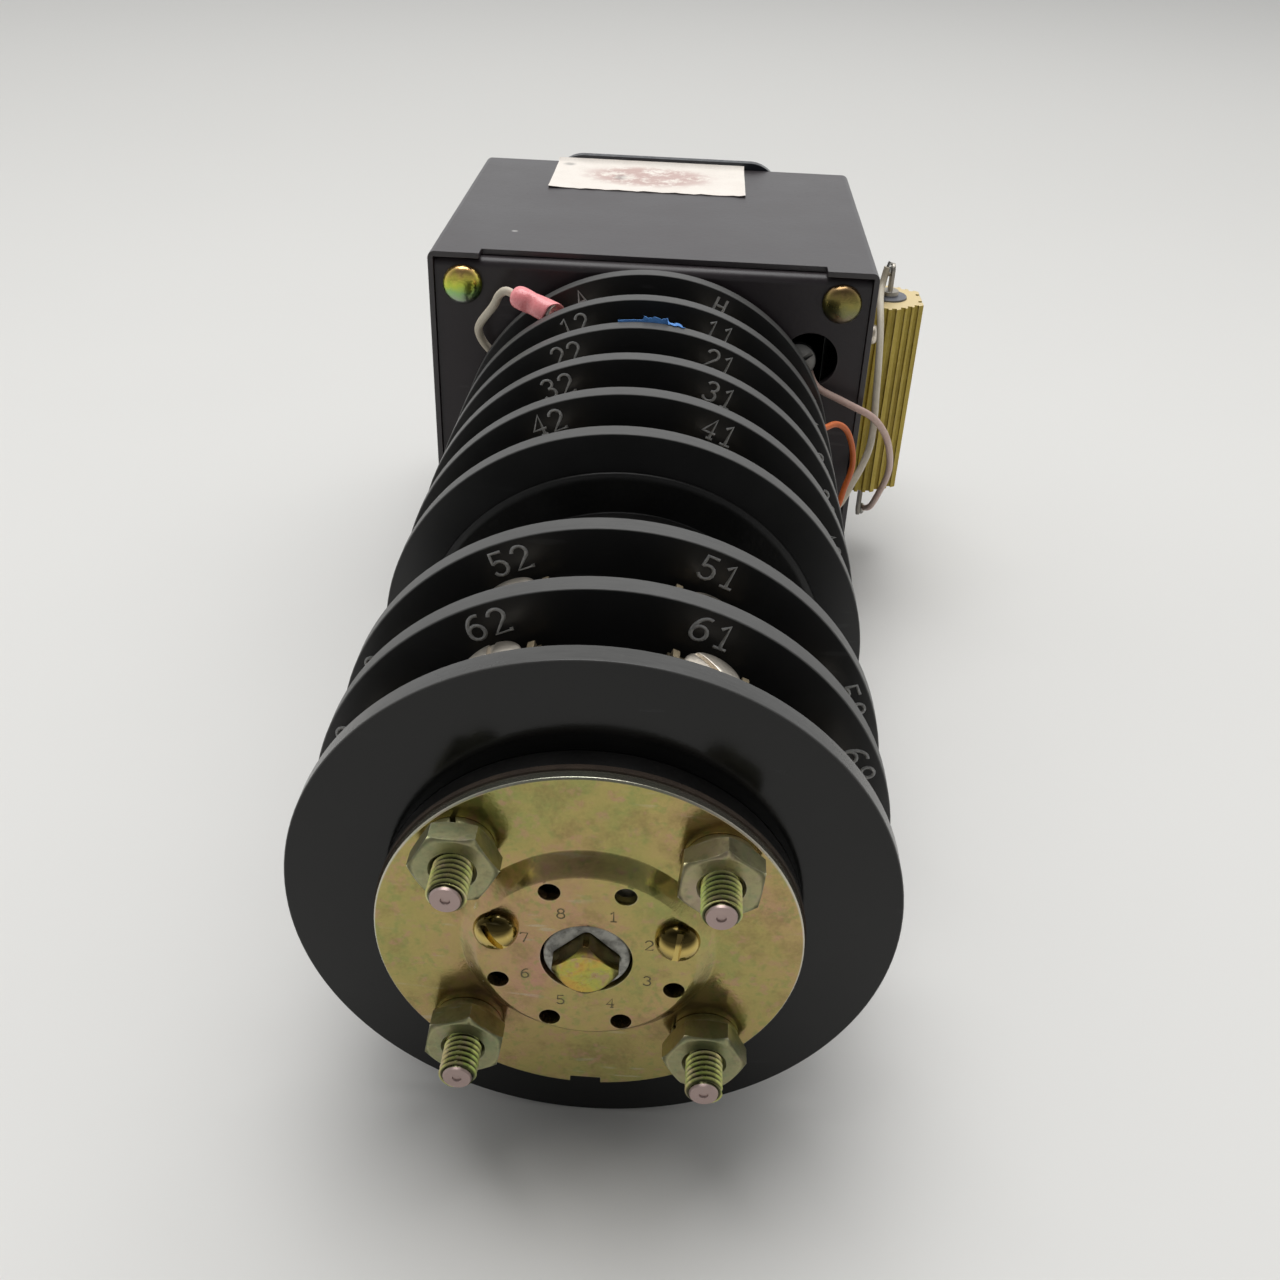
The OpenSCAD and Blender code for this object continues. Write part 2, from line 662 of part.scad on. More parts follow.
// Oval handle: round skirt, waist and a long crowned grip with a pointer groove
module handle() {
    waist_y = handle_back_y - handle_h * 0.35;
    tip = handle_l / 2 - handle_w / 2;
    color("#151515") rotate([0, handle_rest, 0]) difference() {
        union() {
            turned() polygon([[0, handle_back_y], [skirt_d / 2, handle_back_y],
                [skirt_d / 2, handle_back_y - 2.5], [skirt_d / 2 - 1.2, handle_back_y - 4],
                [handle_w / 2 + 1, handle_back_y - handle_h * 0.3],
                [handle_w / 2 - 1, handle_front_y + 6], [0, handle_front_y + 6]]);
            hull() {
                for (s = [-1, 1]) translate([0, handle_front_y + 3, s * tip]) rotate([-90, 0, 0])
                    cylinder(h = handle_h * 0.4, d1 = handle_w - 4, d2 = handle_w - 2, $fn = 32);
                translate([0, handle_front_y, 0]) rotate([-90, 0, 0])
                    cylinder(h = 4, d1 = handle_w * 0.6, d2 = handle_w, $fn = 32);
                bar(waist_y - 1, waist_y, handle_w, $fn = 32);
            }
        }
        bar(shaft_front_y - 2, handle_back_y + cut, shaft_d + fit);
        bar(handle_front_y - cut, handle_front_y + 8, 2 * hand_screw_r + 5);
        bar(handle_front_y + 7, shaft_front_y, 2 * hand_screw_r + 0.4);
        translate([-0.8, handle_front_y - cut, handle_w / 2]) cube([1.6, cut + 3.4, handle_l]);
    }
}

// Screw that draws the handle onto the shaft
module handle_screw() {
    head_y = handle_front_y + 8;
    color("silver") {
        translate([0, head_y - seat, 0]) rotate([90, 0, 0])
            slotted_head(2 * hand_screw_r + 4, 2.6, 1.1, 1.2, 0.3);
        bar(head_y - 1, shaft_front_y + 12, 2 * hand_screw_r);
    }
}

// Target flag: a sector behind the window, on a hub that grips the shaft
module target_flag() {
    a0 = -window_half_angle - throw_angle;
    a1 = window_half_angle;
    color("orangered") difference() {
        union() {
            slab(flag_y, flag_t) intersection() {
                circle(flag_r);
                wedge(a0, a1, 2 * flag_r);
            }
            bar(flag_y, flag_y + 6, flag_hub_d);
        }
        bar(flag_y - cut, flag_y + 6 + cut, shaft_d + 2 * seat);
    }
}

// Latch cam with its hub, the notch for the lever's nose and the dog that the spring pushes
module latch_cam() {
    floor_r = cam_r - cam_notch;
    color("slategray") difference() {
        union() {
            slab(cam_y, cam_t) difference() {
                circle(cam_r, $fn = 96);
                rotate(throw_angle) polygon([[floor_r, -nose_half_h - 0.5], [cam_r + 2, -nose_half_h - 0.5],
                    [cam_r + 2, nose_half_h + 3], [floor_r, nose_half_h + 0.5]]);
            }
            bar(cam_y - cam_hub_h, cam_y + cut, cam_hub_d);
            translate([0, 0, dog_r]) bar(cam_y - 13, cam_y + cut, dog_d);
        }
        bar(cam_y - cam_hub_h - cut, cam_y + cam_t + cut, shaft_d + 2 * seat);
    }
}

// Latch lever: nose by the cam, pivot on the rear panel's stud, slotted tail at the plunger
module latch_lever() {
    nose_x = cam_r + nose_gap;
    tail_w = 5;
    tail_z = coil_z - 2.6;
    slot = [2.3, 4.4];
    color("silver") difference() {
        union() {
            slab(lever_y, lever_t) polygon([[nose_x, -nose_half_h], [nose_x, nose_half_h],
                [nose_x + 3, nose_half_h + 1.6], [pivot_x + 2, nose_half_h + 1.6], [pivot_x + 4, pivot_z],
                [pivot_x - 4, pivot_z], [pivot_x - 3, -nose_half_h - 3], [nose_x + 3, -nose_half_h - 1]]);
            translate([pivot_x, 0, pivot_z]) bar(lever_y, lever_y + lever_t, 2 * tail_w);
            translate([pivot_x - tail_w / 2, lever_y, tail_z]) cube([tail_w, lever_t, pivot_z - tail_z]);
            translate([pivot_x, 0, tail_z]) bar(lever_y, lever_y + lever_t, tail_w);
        }
        translate([pivot_x, 0, pivot_z]) bar(lever_y - cut, lever_y + lever_t + cut, pivot_d + 0.12);
        translate([pivot_x - slot[0] / 2, lever_y - cut, coil_z - slot[1] / 2])
            cube([slot[0], lever_t + 2 * cut, slot[1]]);
    }
}

// Solenoid frame: an open U with two rivets through the rear panel
module solenoid_frame() {
    depth = rear_in_y - (coil_y - coil_d / 2 - 0.5);
    front_y = rear_in_y - depth;
    frame_w = coil_d - 1.2;
    color("gray") {
        difference() {
            translate([coil_x0 - frame_t, front_y, coil_z - frame_w / 2])
                cube([coil_l + 2 * frame_t, depth - seat, frame_w]);
            translate([coil_x0, front_y - cut, coil_z - frame_w / 2 - cut])
                cube([coil_l, depth - frame_t + cut, frame_w + 2 * cut]);
            translate([coil_x0 - frame_t - cut, coil_y, coil_z]) rotate([0, 90, 0])
                cylinder(h = coil_l + 2 * frame_t + 2 * cut, d = plunger_d + 1);
        }
        at_rivets() bar(rear_in_y - 1, rear_y + 0.8, rivet_d);
    }
}

// Children at the two rivets of the solenoid frame
module at_rivets() {
    for (x = [coil_x0 + 4, coil_x1 - 4]) translate([x, 0, coil_z]) children();
}

// Coil on its bobbin
module solenoid_coil() {
    flange_t = 1.2;
    far = coil_l - 2 * seat;
    r = coil_d / 2;
    color("#7a3b1e") translate([coil_x0 + seat, coil_y, coil_z]) rotate([0, 90, 0]) difference() {
        rotate_extrude() polygon([[0, 0], [r, 0], [r, flange_t], [r - 0.7, flange_t],
            [r - 0.7, far - flange_t], [r, far - flange_t], [r, far], [0, far]]);
        translate([0, 0, -cut]) cylinder(h = coil_l + 2 * cut, d = plunger_d + 0.4);
    }
}

// Plunger with a forked head and its pin through the lever's slot
module plunger() {
    fork_x0 = pivot_x - 4;
    fork_x1 = pivot_x + 3;
    fork_w = lever_t + 5;
    color("lightgray") {
        difference() {
            union() {
                translate([coil_x0 + plunger_stroke + 6, coil_y, coil_z]) rotate([0, 90, 0])
                    cylinder(h = fork_x0 - coil_x0 - plunger_stroke - 5, d = plunger_d);
                translate([fork_x0, coil_y - fork_w / 2, coil_z - plunger_d / 2])
                    cube([fork_x1 - fork_x0, fork_w, plunger_d]);
            }
            translate([fork_x0 + 0.8, coil_y - lever_t / 2 - 0.4, coil_z - plunger_d])
                cube([fork_x1, lever_t + 0.8, 2 * plunger_d]);
        }
        translate([pivot_x, 0, coil_z]) bar(coil_y - fork_w / 2, coil_y + fork_w / 2, 2);
    }
}

// Torsion spring round the shaft, between the front plate's anchor and the cam's dog
module torsion_spring() {
    steps = round(spring_sweep / 24);
    route = [for (i = [0 : steps]) let (u = i / steps, a = spring_a1 - spring_sweep * (1 - u))
        [spring_d / 2 * cos(a), spring_y0 + (spring_y1 - spring_y0) * u, spring_d / 2 * sin(a)]];
    color("dimgray") tube(route, spring_wire);
}

// Spacer between the box and the first disc
module front_spacer() {
    color("#1a1a1a") difference() {
        bar(rear_y + seat, disc_y0 - seat, ring_d);
        bar(rear_y - cut, disc_y0 + cut, bush_d + 1);
        at_studs() bar(rear_y - cut, disc_y0 + cut, stud_hole_d);
    }
}

// Barrier disc of laminate
module barrier_disc(k) {
    color("#202020") difference() {
        bar(disc_y(k), disc_y(k) + disc_t, disc_d);
        bar(disc_y(k) - cut, disc_y(k) + disc_t + cut, square_turned_d + 4);
        at_studs() bar(disc_y(k) - cut, disc_y(k) + disc_t + cut, stud_hole_d);
    }
}

// Stator ring with a slot for each terminal strap
module stator_ring(d) {
    y0 = deck_y(d) + seat;
    y1 = deck_y(d) + ring_h - seat;
    y_strap = deck_mid(d) + strap_off;
    color("#161616") difference() {
        bar(y0, y1, ring_d);
        bar(y0 - cut, y1 + cut, ring_bore_d);
        at_studs() bar(y0 - cut, y1 + cut, stud_hole_d);
        for (a = station_angles) rotate([0, a, 0])
            translate([-(strap_w + fit) / 2, y_strap - (strap_t + fit) / 2, ring_bore_d / 2 - 2])
                cube([strap_w + fit, strap_t + fit, ring_d / 2]);
    }
}

// Eight terminals: a strap through the ring, a bent pad and two upturned ears
module terminals(d) {
    y_strap = deck_mid(d) + strap_off;
    ear_l = pad_l * 0.64;
    color("#b9a77c") for (a = station_angles) rotate([0, a, 0]) difference() {
        union() {
            translate([-strap_w / 2, y_strap - strap_t / 2, strap_in_r])
                cube([strap_w, strap_t, pad_r - strap_in_r - pad_t / 2]);
            translate([-pad_w / 2, deck_mid(d) - pad_l / 2, pad_r - pad_t]) cube([pad_w, pad_l, pad_t]);
            for (x = [-pad_w / 2, pad_w / 2 - ear_t]) translate([x, deck_mid(d) - ear_l / 2, pad_r - pad_t])
                cube([ear_t, ear_l, pad_t + ear_h]);
        }
        translate([0, deck_mid(d), pad_r - pad_t - cut]) cylinder(h = pad_t + 2 * cut, d = screw_d + fit);
    }
}

// Binding-head terminal screws, each with its slot turned its own way, one of them screwed right down
module terminal_screws() {
    color("#cfc4a4") for (d = [1 : deck_count], k = [0 : 7]) rotate([0, station_angles[k], 0]) {
        seat_r = pad_r + (d == 6 && k == 7 ? 0.1 : head_gap);
        translate([0, deck_mid(d), seat_r]) rotate([0, 0, (d * 81 + k * 57 + 68) % 180])
            slotted_head(screw_head_d, screw_head_h, 0.9, 0.9, 0.45);
        translate([0, deck_mid(d), screw_tip_r]) cylinder(h = seat_r - screw_tip_r + 0.5, d = screw_d);
    }
}

// Rotor of each deck, slotted for its blades
module deck_rotors() {
    color("#2a1d16") for (d = [1 : deck_count]) difference() {
        bar(deck_mid(d) - rotor_h / 2, deck_mid(d) + rotor_h / 2, rotor_d);
        slab(deck_mid(d) - rotor_h, 2 * rotor_h) square_section(0.04);
        blades_of(d, fit / 2);
    }
}

// Two leaf blades on each deck that grip the inner ends of opposite straps
module rotor_blades() {
    color("#c98a5a") for (d = [1 : deck_count]) difference() {
        blades_of(d, 0);
        bar(deck_mid(d) - rotor_h, deck_mid(d) + rotor_h, square_turned_d + 1);
    }
}

module blades_of(d, gap) {
    off = strap_t / 2 + blade_gap + blade_t / 2;
    size = [blade_w + 2 * gap, blade_t + 2 * gap, 2 * blade_r + 2 * gap];
    for (s = [-1, 1]) rotate([0, 22.5 + station * (d % 2), 0])
        translate([0, deck_mid(d) + strap_off + s * off, 0]) cube(size, center = true);
}

// Double-height spacer with a raised land on the sixth disc
module hub_spacer() {
    y0 = disc_y(last_front_disc) + disc_t + seat;
    y1 = disc_y(last_front_disc + 1) - seat;
    land_h = 1.2;
    color("#161616") difference() {
        turned() polygon([[0, y0], [land_d / 2, y0], [land_d / 2, y0 + land_h * 0.4],
            [land_d / 2 - land_h, y0 + land_h], [ring_d / 2, y0 + land_h], [ring_d / 2, y1], [0, y1]]);
        bar(y0 - cut, y1 + cut, ring_bore_d / 2);
        at_studs() bar(y0 - cut, y1 + cut, stud_hole_d);
    }
}

// Ring behind the last disc, round the stop arm
module rear_housing() {
    color("#161616") difference() {
        bar(housing_y + seat, gasket_y - seat, ring_d);
        bar(housing_y - cut, gasket_y + cut, stop_cavity_d);
        at_studs() bar(housing_y - cut, gasket_y + cut, stud_hole_d);
    }
}

// Rough laminate under the end plate
module rear_gasket() {
    color("#5b4a3a") difference() {
        bar(gasket_y, end_y - seat, ring_d + 0.5);
        bar(gasket_y - cut, end_y + cut, stop_cavity_d);
        at_studs() bar(gasket_y - cut, end_y + cut, stud_hole_d);
    }
}

// Pressed end plate: flange, cone and flat face of one sheet, with eight stop holes
module end_plate() {
    foot_r = boss_foot_d / 2;
    face_r = boss_face_d / 2;
    notch = [4.1, 1.3];
    color("#b9ab6b") difference() {
        turned() polygon([[ring_d / 2, end_y], [foot_r - end_t * 0.8, end_y],
            [face_r - end_t * 0.8, boss_y - end_t], [boss_bore_d / 2, boss_y - end_t],
            [boss_bore_d / 2, boss_y], [face_r - 0.5, boss_y],
            [face_r, boss_y - 0.3], [foot_r - 0.4, end_face_y + 0.2], [foot_r, end_face_y],
            [ring_d / 2 - 0.25, end_face_y], [ring_d / 2, end_face_y - 0.25]]);
        at_studs() bar(end_y - cut, end_face_y + cut, stud_hole_d);
        for (a = station_angles) rotate([0, a, 0]) translate([0, 0, stop_r])
            bar(boss_y - boss_h, boss_y + cut, stop_hole_d);
        translate([-notch[0] / 2, end_y - cut, -ring_d / 2 - cut])
            cube([notch[0], end_t + 2 * cut, notch[1] + cut]);
    }
}

// Round-head stop screws in holes seven and two
module stop_screws() {
    color("#c2a24a") for (i = [0, 1]) rotate([0, stop_angles[i], 0]) translate([0, boss_y + seat, stop_r])
        rotate([-90, 0, 0]) rotate([0, 0, i == 0 ? 40 : 115]) {
            slotted_head(stop_head_d, 2, 0.8, 1, 0.8);
            translate([0, 0, -boss_h - end_t - 2.6]) cylinder(h = boss_h + end_t + 3, d = stop_screw_d);
        }
}

// Die-cast stop hub: a collar in the boss's bore and an arm between the stop screws
module stop_hub() {
    y0 = housing_y + 0.5;
    arm_h = boss_y - end_t - y0 - 1.1;
    color("#b8b8b0") difference() {
        union() {
            bar(y0, boss_y - 0.4, boss_bore_d - 0.7);
            slab(y0, arm_h) intersection() {
                circle(arm_r);
                wedge(arm_rest - arm_half, arm_rest + arm_half, 2 * stop_r);
            }
        }
        slab(y0 - cut, boss_y) square_section(0.04);
    }
}

// Tie studs through the whole stack, their ends chamfered
module tie_studs() {
    cham = 0.7;
    r = stud_d / 2;
    color("#a39a6a") at_studs() turned() polygon([[0, stud_y0], [r - cham, stud_y0], [r, stud_y0 + cham],
        [r, stud_end_y - cham], [r - cham, stud_end_y], [0.7, stud_end_y], [0, stud_end_y - 0.5]]);
}

// Nuts on both ends of the studs, turned as they were tightened
module stud_nuts() {
    turns = [0, 3, 20, 30];
    color("#9c9678") for (i = [0 : 3]) translate([stud_xz[i][0], 0, stud_xz[i][1]]) {
        hex_nut(end_face_y + washer_t + 2 * seat, turns[i]);
        hex_nut(rear_in_y - nut_t - seat, turns[3 - i]);
    }
}

// Split lock washers under the rear nuts
module lock_washers() {
    color("#8f8a70") for (i = [0 : 3]) translate([stud_xz[i][0], end_face_y + seat, stud_xz[i][1]])
        difference() {
            bar(0, washer_t, nut_w - 0.7);
            bar(-cut, washer_t + cut, stud_d + 0.3);
            rotate([0, 70 + 100 * i, 0]) translate([-0.3, -cut, 0]) rotate([0, 0, 12])
                cube([0.6, washer_t + 2 * cut, nut_w]);
        }
}

// Finned aluminium housing of the resistor, an extrusion with a drilled core
module resistor_body() {
    fin = 1;
    knee = res_h * 0.55;
    half_foot = res_foot_w / 2;
    half_body = res_body_w / 2;
    half_face = res_face_w / 2;
    outline = [[-half_foot, 0], [half_foot, 0], [half_foot, res_foot_t], [half_body, res_foot_t],
        [half_body, knee], [half_face, res_h], [-half_face, res_h], [-half_body, knee],
        [-half_body, res_foot_t], [-half_foot, res_foot_t]];
    color("#c9a53f") translate([res_x - seat, res_y, res_bottom_z]) difference() {
        linear_extrude(res_l) rotate(90) difference() {
            polygon(outline);
            for (s = [-1, 1]) {
                for (v = [res_foot_t + 1.5 : 1.9 : knee]) translate([s * half_body, v])
                    square([1.8 * fin, fin], center = true);
                for (k = [1 : 3]) translate([s * (half_body + (half_face - half_body) * k / 4),
                    knee + (res_h - knee) * k / 4]) square([1.8 * fin, fin], center = true);
                translate([s * half_face / 2, res_h]) square([fin, 1.8 * fin], center = true);
            }
        }
        translate([-res_axis_h, 0, -cut]) cylinder(h = res_l + 2 * cut, d = core_d + 2 * seat);
        for (s = [-1, 1]) translate([-res_foot_t - cut, s * res_screw_dy, res_l / 2 + s * res_screw_dz])
            rotate([0, 90, 0]) cylinder(h = res_foot_t + 2 * cut, d = foot_screw_d + fit);
    }
}

// Ceramic core with a flat slotted lug at each end
module resistor_core() {
    proud = 0.4;
    color("#3c3c40") translate([res_x - seat - res_axis_h, res_y, 0]) {
        translate([0, 0, res_bottom_z - proud]) cylinder(h = res_l + 2 * proud, d = core_d);
        translate([0, 0, res_top_z + proud]) lug(top_lug_l);
        translate([0, 0, res_bottom_z - proud]) rotate([180, 0, 0]) lug(lug_l);
    }
}

// A lug with a round end and an eye, standing on the XY plane along +Z
module lug(l) {
    eye_z = l - lug_w / 2;
    difference() {
        union() {
            cylinder(h = 1.2, d = 4);
            translate([-lug_t / 2, -lug_w / 2, 0]) cube([lug_t, lug_w, eye_z]);
            translate([-lug_t / 2, 0, eye_z]) rotate([0, 90, 0]) cylinder(h = lug_t, d = lug_w);
        }
        translate([-cut, 0, eye_z]) rotate([0, 90, 0]) cylinder(h = 2 * cut, d = 1.5);
    }
}

// Lead from the left hole to the crimp sleeve, and lead from the resistor's top lug to a terminal
module white_leads() {
    color("#d8d4cc") {
        tube(smooth(left_lead_points), lead_d);
        tube(smooth(top_lead_points), lead_d);
    }
}

// Lead from the right hole to the resistor's bottom lug
module pink_lead() {
    color("#d9b3ad") tube(smooth(pink_lead_points), lead_d);
}

// Jumper between two terminals of the first deck
module orange_lead() {
    color("#d9622b") tube(smooth(orange_lead_points), lead_d);
}

// Ring under a terminal screw, its tongue bent up beside the head, and the crimped sleeve
module crimp_sleeve() {
    ring_t = 0.7;
    tongue_w = 2.8;
    tongue_l = screw_head_d / 2 + 0.2;
    ring_r = pad_r + 0.05;
    color("#d9606a") {
        rotate([0, station_angles[0], 0]) difference() {
            union() {
                translate([0, deck_mid(1), ring_r]) cylinder(h = ring_t, d = screw_head_d - 0.3);
                translate([-tongue_w / 2, deck_mid(1), ring_r]) cube([tongue_w, tongue_l + ring_t, ring_t]);
                translate([-tongue_w / 2, deck_mid(1) + tongue_l, ring_r]) cube([tongue_w, ring_t, 5.2]);
                translate([0, deck_mid(1) + tongue_l, ring_r + 3.6]) cube([4.5, ring_t, 1.6]);
            }
            translate([0, deck_mid(1), pad_r - cut]) cylinder(h = ring_t + 2 * cut, d = screw_d + 0.2);
        }
        rod(sleeve_points[0], sleeve_points[1], sleeve_d);
    }
}

front_plate();
rear_panel();
box_cover();
corner_posts();
box_bolts();
nameplate();
small_screws();
shaft_bushings();
shaft();
handle();
handle_screw();
target_flag();
latch_cam();
latch_lever();
solenoid_frame();
solenoid_coil();
plunger();
torsion_spring();
front_spacer();
barrier_disc(1);  // barrier_disc_1
barrier_disc(2);  // barrier_disc_2
barrier_disc(3);  // barrier_disc_3
barrier_disc(4);  // barrier_disc_4
barrier_disc(5);  // barrier_disc_5
barrier_disc(6);  // barrier_disc_6
barrier_disc(7);  // barrier_disc_7
barrier_disc(8);  // barrier_disc_8
barrier_disc(9);  // barrier_disc_9
stator_ring(1);  // stator_ring_1
stator_ring(2);  // stator_ring_2
stator_ring(3);  // stator_ring_3
stator_ring(4);  // stator_ring_4
stator_ring(5);  // stator_ring_5
stator_ring(6);  // stator_ring_6
stator_ring(7);  // stator_ring_7
terminals(1);  // terminals_1
terminals(2);  // terminals_2
terminals(3);  // terminals_3
terminals(4);  // terminals_4
terminals(5);  // terminals_5
terminals(6);  // terminals_6
terminals(7);  // terminals_7
terminal_screws();
deck_rotors();
rotor_blades();
hub_spacer();
rear_housing();
rear_gasket();
end_plate();
stop_screws();
stop_hub();
tie_studs();
stud_nuts();
lock_washers();
resistor_body();
resistor_core();
white_leads();
pink_lead();
orange_lead();
crimp_sleeve();
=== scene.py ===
# %% [markdown]
# # A rotary control switch, dressed for its portrait
# The solids of the switch come from its CAD model and stay exactly where they are. This lesson gives every
# one of them a finish, and models the small things that a solid can't show well: rolled threads, painted
# numbers, worn paper, insulated leads. The object stands in metres, X to the right seen from the handle,
# Y along the shaft to the rear stop plate, Z up.

# %% Load the frame and measure it
import json
import math

import bpy
from mathutils import Matrix, Vector

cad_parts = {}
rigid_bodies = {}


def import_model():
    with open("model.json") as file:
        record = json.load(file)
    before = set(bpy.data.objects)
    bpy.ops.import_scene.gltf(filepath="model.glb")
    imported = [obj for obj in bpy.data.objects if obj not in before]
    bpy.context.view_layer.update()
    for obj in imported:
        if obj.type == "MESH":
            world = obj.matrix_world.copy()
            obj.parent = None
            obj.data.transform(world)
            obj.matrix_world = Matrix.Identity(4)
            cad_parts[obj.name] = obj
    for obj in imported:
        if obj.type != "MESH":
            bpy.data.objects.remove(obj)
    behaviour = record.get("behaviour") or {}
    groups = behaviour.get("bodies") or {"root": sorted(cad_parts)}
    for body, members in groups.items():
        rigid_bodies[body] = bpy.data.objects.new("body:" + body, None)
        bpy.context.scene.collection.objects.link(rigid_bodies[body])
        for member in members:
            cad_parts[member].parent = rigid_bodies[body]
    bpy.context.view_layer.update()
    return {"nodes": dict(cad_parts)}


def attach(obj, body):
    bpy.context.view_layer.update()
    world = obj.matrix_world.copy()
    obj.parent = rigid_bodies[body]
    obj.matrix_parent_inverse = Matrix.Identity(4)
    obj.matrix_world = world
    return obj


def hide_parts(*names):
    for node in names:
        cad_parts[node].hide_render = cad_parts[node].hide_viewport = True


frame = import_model()
cad = frame["nodes"]
MM = 0.001

# %% [markdown]
# ## Camera
# The photograph looks down on the rear end from close by, so the far box looks small. The place and the
# turn of the camera were worked out from the ellipses of the discs and the corners of the box. A focal
# length of about 36 mm on a 36 mm wide square picture gives the same strong perspective.

# %% Camera
camera_data = bpy.data.cameras.new("photo_camera")
camera_data.sensor_width = 36.0
camera_data.lens = 36.0 * 1277.4 / 1280.0
camera_data.clip_start = 0.01
camera = bpy.data.objects.new("photo_camera", camera_data)
bpy.context.scene.collection.objects.link(camera)
camera.location = (-0.0078983, 0.3402628, 0.1206839)
camera.rotation_euler = tuple(math.radians(a) for a in (56.3062, -2.1130, -177.0166))
bpy.context.scene.camera = camera
print("camera at", [round(v, 4) for v in camera.location], "lens", round(camera_data.lens, 2))

# %% [markdown]
# ## Modelling helpers
# Blender's operators act on whatever is selected, so each piece starts with nothing selected and ends
# with its place baked into its mesh. A soft copy of a CAD solid is made the way a fitter breaks an edge:
# the loose triangles are merged, flat ones are joined, and a small bevel catches the light.


# %% Helpers for pieces
def leave_edit():
    bpy.ops.object.mode_set(mode="OBJECT")


def edit_all():
    """Enters edit mode with the whole mesh selected."""
    bpy.ops.object.mode_set(mode="EDIT")
    bpy.ops.mesh.select_all(action="SELECT")


def nothing_selected():
    """Leaves edit mode and deselects everything."""
    if bpy.context.object is not None and bpy.context.object.mode != "OBJECT":
        leave_edit()
    bpy.ops.object.select_all(action="DESELECT")


def pick(obj):
    """Makes obj the only selected and active object."""
    nothing_selected()
    obj.select_set(True)
    bpy.context.view_layer.objects.active = obj


def apply_all(obj):
    """Applies the modifiers of obj, then bakes its place into its mesh."""
    pick(obj)
    for modifier in list(obj.modifiers):
        bpy.ops.object.modifier_apply(modifier=modifier.name)
    bpy.ops.object.transform_apply()


def smoothed(obj, angle):
    """Shades the selected obj smooth where its faces meet at less than angle degrees."""
    bpy.ops.object.shade_smooth_by_angle(angle=math.radians(angle))
    return obj


def give(obj, name, material, body="housing"):
    """Names a finished piece, gives it its material and lets it ride on a body."""
    obj.name = name
    obj.data.name = name
    obj.data.materials.clear()
    obj.data.materials.append(material)
    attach(obj, body)
    return obj


def new_object(name, data):
    """An object that holds data, linked to the scene."""
    obj = bpy.data.objects.new(name, data)
    bpy.context.scene.collection.objects.link(obj)
    return obj


def own_copy(obj, matrix):
    """A copy of obj with a mesh of its own, its place baked in."""
    copy = new_object(obj.name, obj.data.copy())
    copy.data.transform(matrix)
    return copy


def crisp(obj, width, angle, smooth=30.0, corners="MITER_SHARP"):
    """Breaks sharp edges by width in mm and keeps flat faces flat in shading."""
    bevel = obj.modifiers.new("broken_edge", "BEVEL")
    bevel.width = width * MM
    bevel.segments = 2
    bevel.limit_method = "ANGLE"
    bevel.angle_limit = math.radians(angle)
    bevel.miter_outer = corners
    apply_all(obj)
    smoothed(obj, smooth)
    flat = obj.modifiers.new("flat_faces_stay_flat", "WEIGHTED_NORMAL")
    flat.keep_sharp = True
    bpy.ops.object.modifier_apply(modifier=flat.name)
    return obj


def softened(node, width):
    """A copy of a CAD node with its edges broken by width in mm; the copy replaces the node."""
    copy = own_copy(cad[node], Matrix())
    pick(copy)
    edit_all()
    bpy.ops.mesh.remove_doubles(threshold=0.000004)
    bpy.ops.mesh.dissolve_limited(angle_limit=math.radians(0.4), delimit={"NORMAL"})
    leave_edit()
    crisp(copy, width, 32.0, 38.0, "MITER_ARC")
    copy.data.materials.clear()
    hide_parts(node)
    return copy


def join(objs):
    """Joins several finished meshes into the first of them."""
    nothing_selected()
    for o in objs:
        o.select_set(True)
    bpy.context.view_layer.objects.active = objs[0]
    bpy.ops.object.join()
    return objs[0]


def turned_bar(name, stations, sides=32):
    """A round bar along Z, drawn out of a disc from station to station; each is (height, radius) in mm."""
    nothing_selected()
    z, r = stations[0]
    foot = (0, 0, z * MM)
    bpy.ops.mesh.primitive_circle_add(vertices=sides, radius=r * MM, fill_type="NGON", location=foot)
    bar = bpy.context.object
    bar.name = name
    edit_all()
    for z_next, r_next in stations[1:]:
        bpy.ops.mesh.extrude_region_move(TRANSFORM_OT_translate={"value": (0, 0, (z_next - z) * MM)})
        scale = r_next / r
        bpy.ops.transform.resize(value=(scale, scale, 1), center_override=(0, 0, z_next * MM))
        z, r = z_next, r_next
    bpy.ops.mesh.select_all(action="SELECT")
    bpy.ops.mesh.normals_make_consistent(inside=False)
    leave_edit()
    apply_all(bar)
    return smoothed(bar, 40)


def block(size, place):
    """A block with its edges and its middle in mm."""
    nothing_selected()
    bpy.ops.mesh.primitive_cube_add(size=1.0, location=tuple(v * MM for v in place))
    cube = bpy.context.object
    cube.scale = tuple(v * MM for v in size)
    bpy.ops.object.transform_apply()
    return cube


def choose(obj, test):
    """Selects, in edit mode, the vertices of obj whose place in mm passes the test."""
    pick(obj)
    bpy.ops.object.mode_set(mode="EDIT")
    bpy.ops.mesh.select_mode(type="VERT")
    bpy.ops.mesh.select_all(action="DESELECT")
    leave_edit()
    for vertex in obj.data.vertices:
        vertex.select = bool(test(vertex.co / MM))
    bpy.ops.object.mode_set(mode="EDIT")


def carve(obj, tool, operation="DIFFERENCE"):
    """Cuts obj by a tool, or keeps what both share, and removes the tool."""
    cut = obj.modifiers.new("cut", "BOOLEAN")
    cut.object = tool
    cut.operation = operation
    cut.solver = "EXACT"
    pick(obj)
    bpy.ops.object.modifier_apply(modifier=cut.name)
    bpy.data.objects.remove(tool)


def slotted_head(name, profile, sides, slot, edge):
    """A turned screw head; slot is the size in mm of the block that saws its slot."""
    head = turned_bar(name, profile, sides)
    carve(head, block(slot, (0, 0, 2.2)))
    return crisp(head, edge, 60)


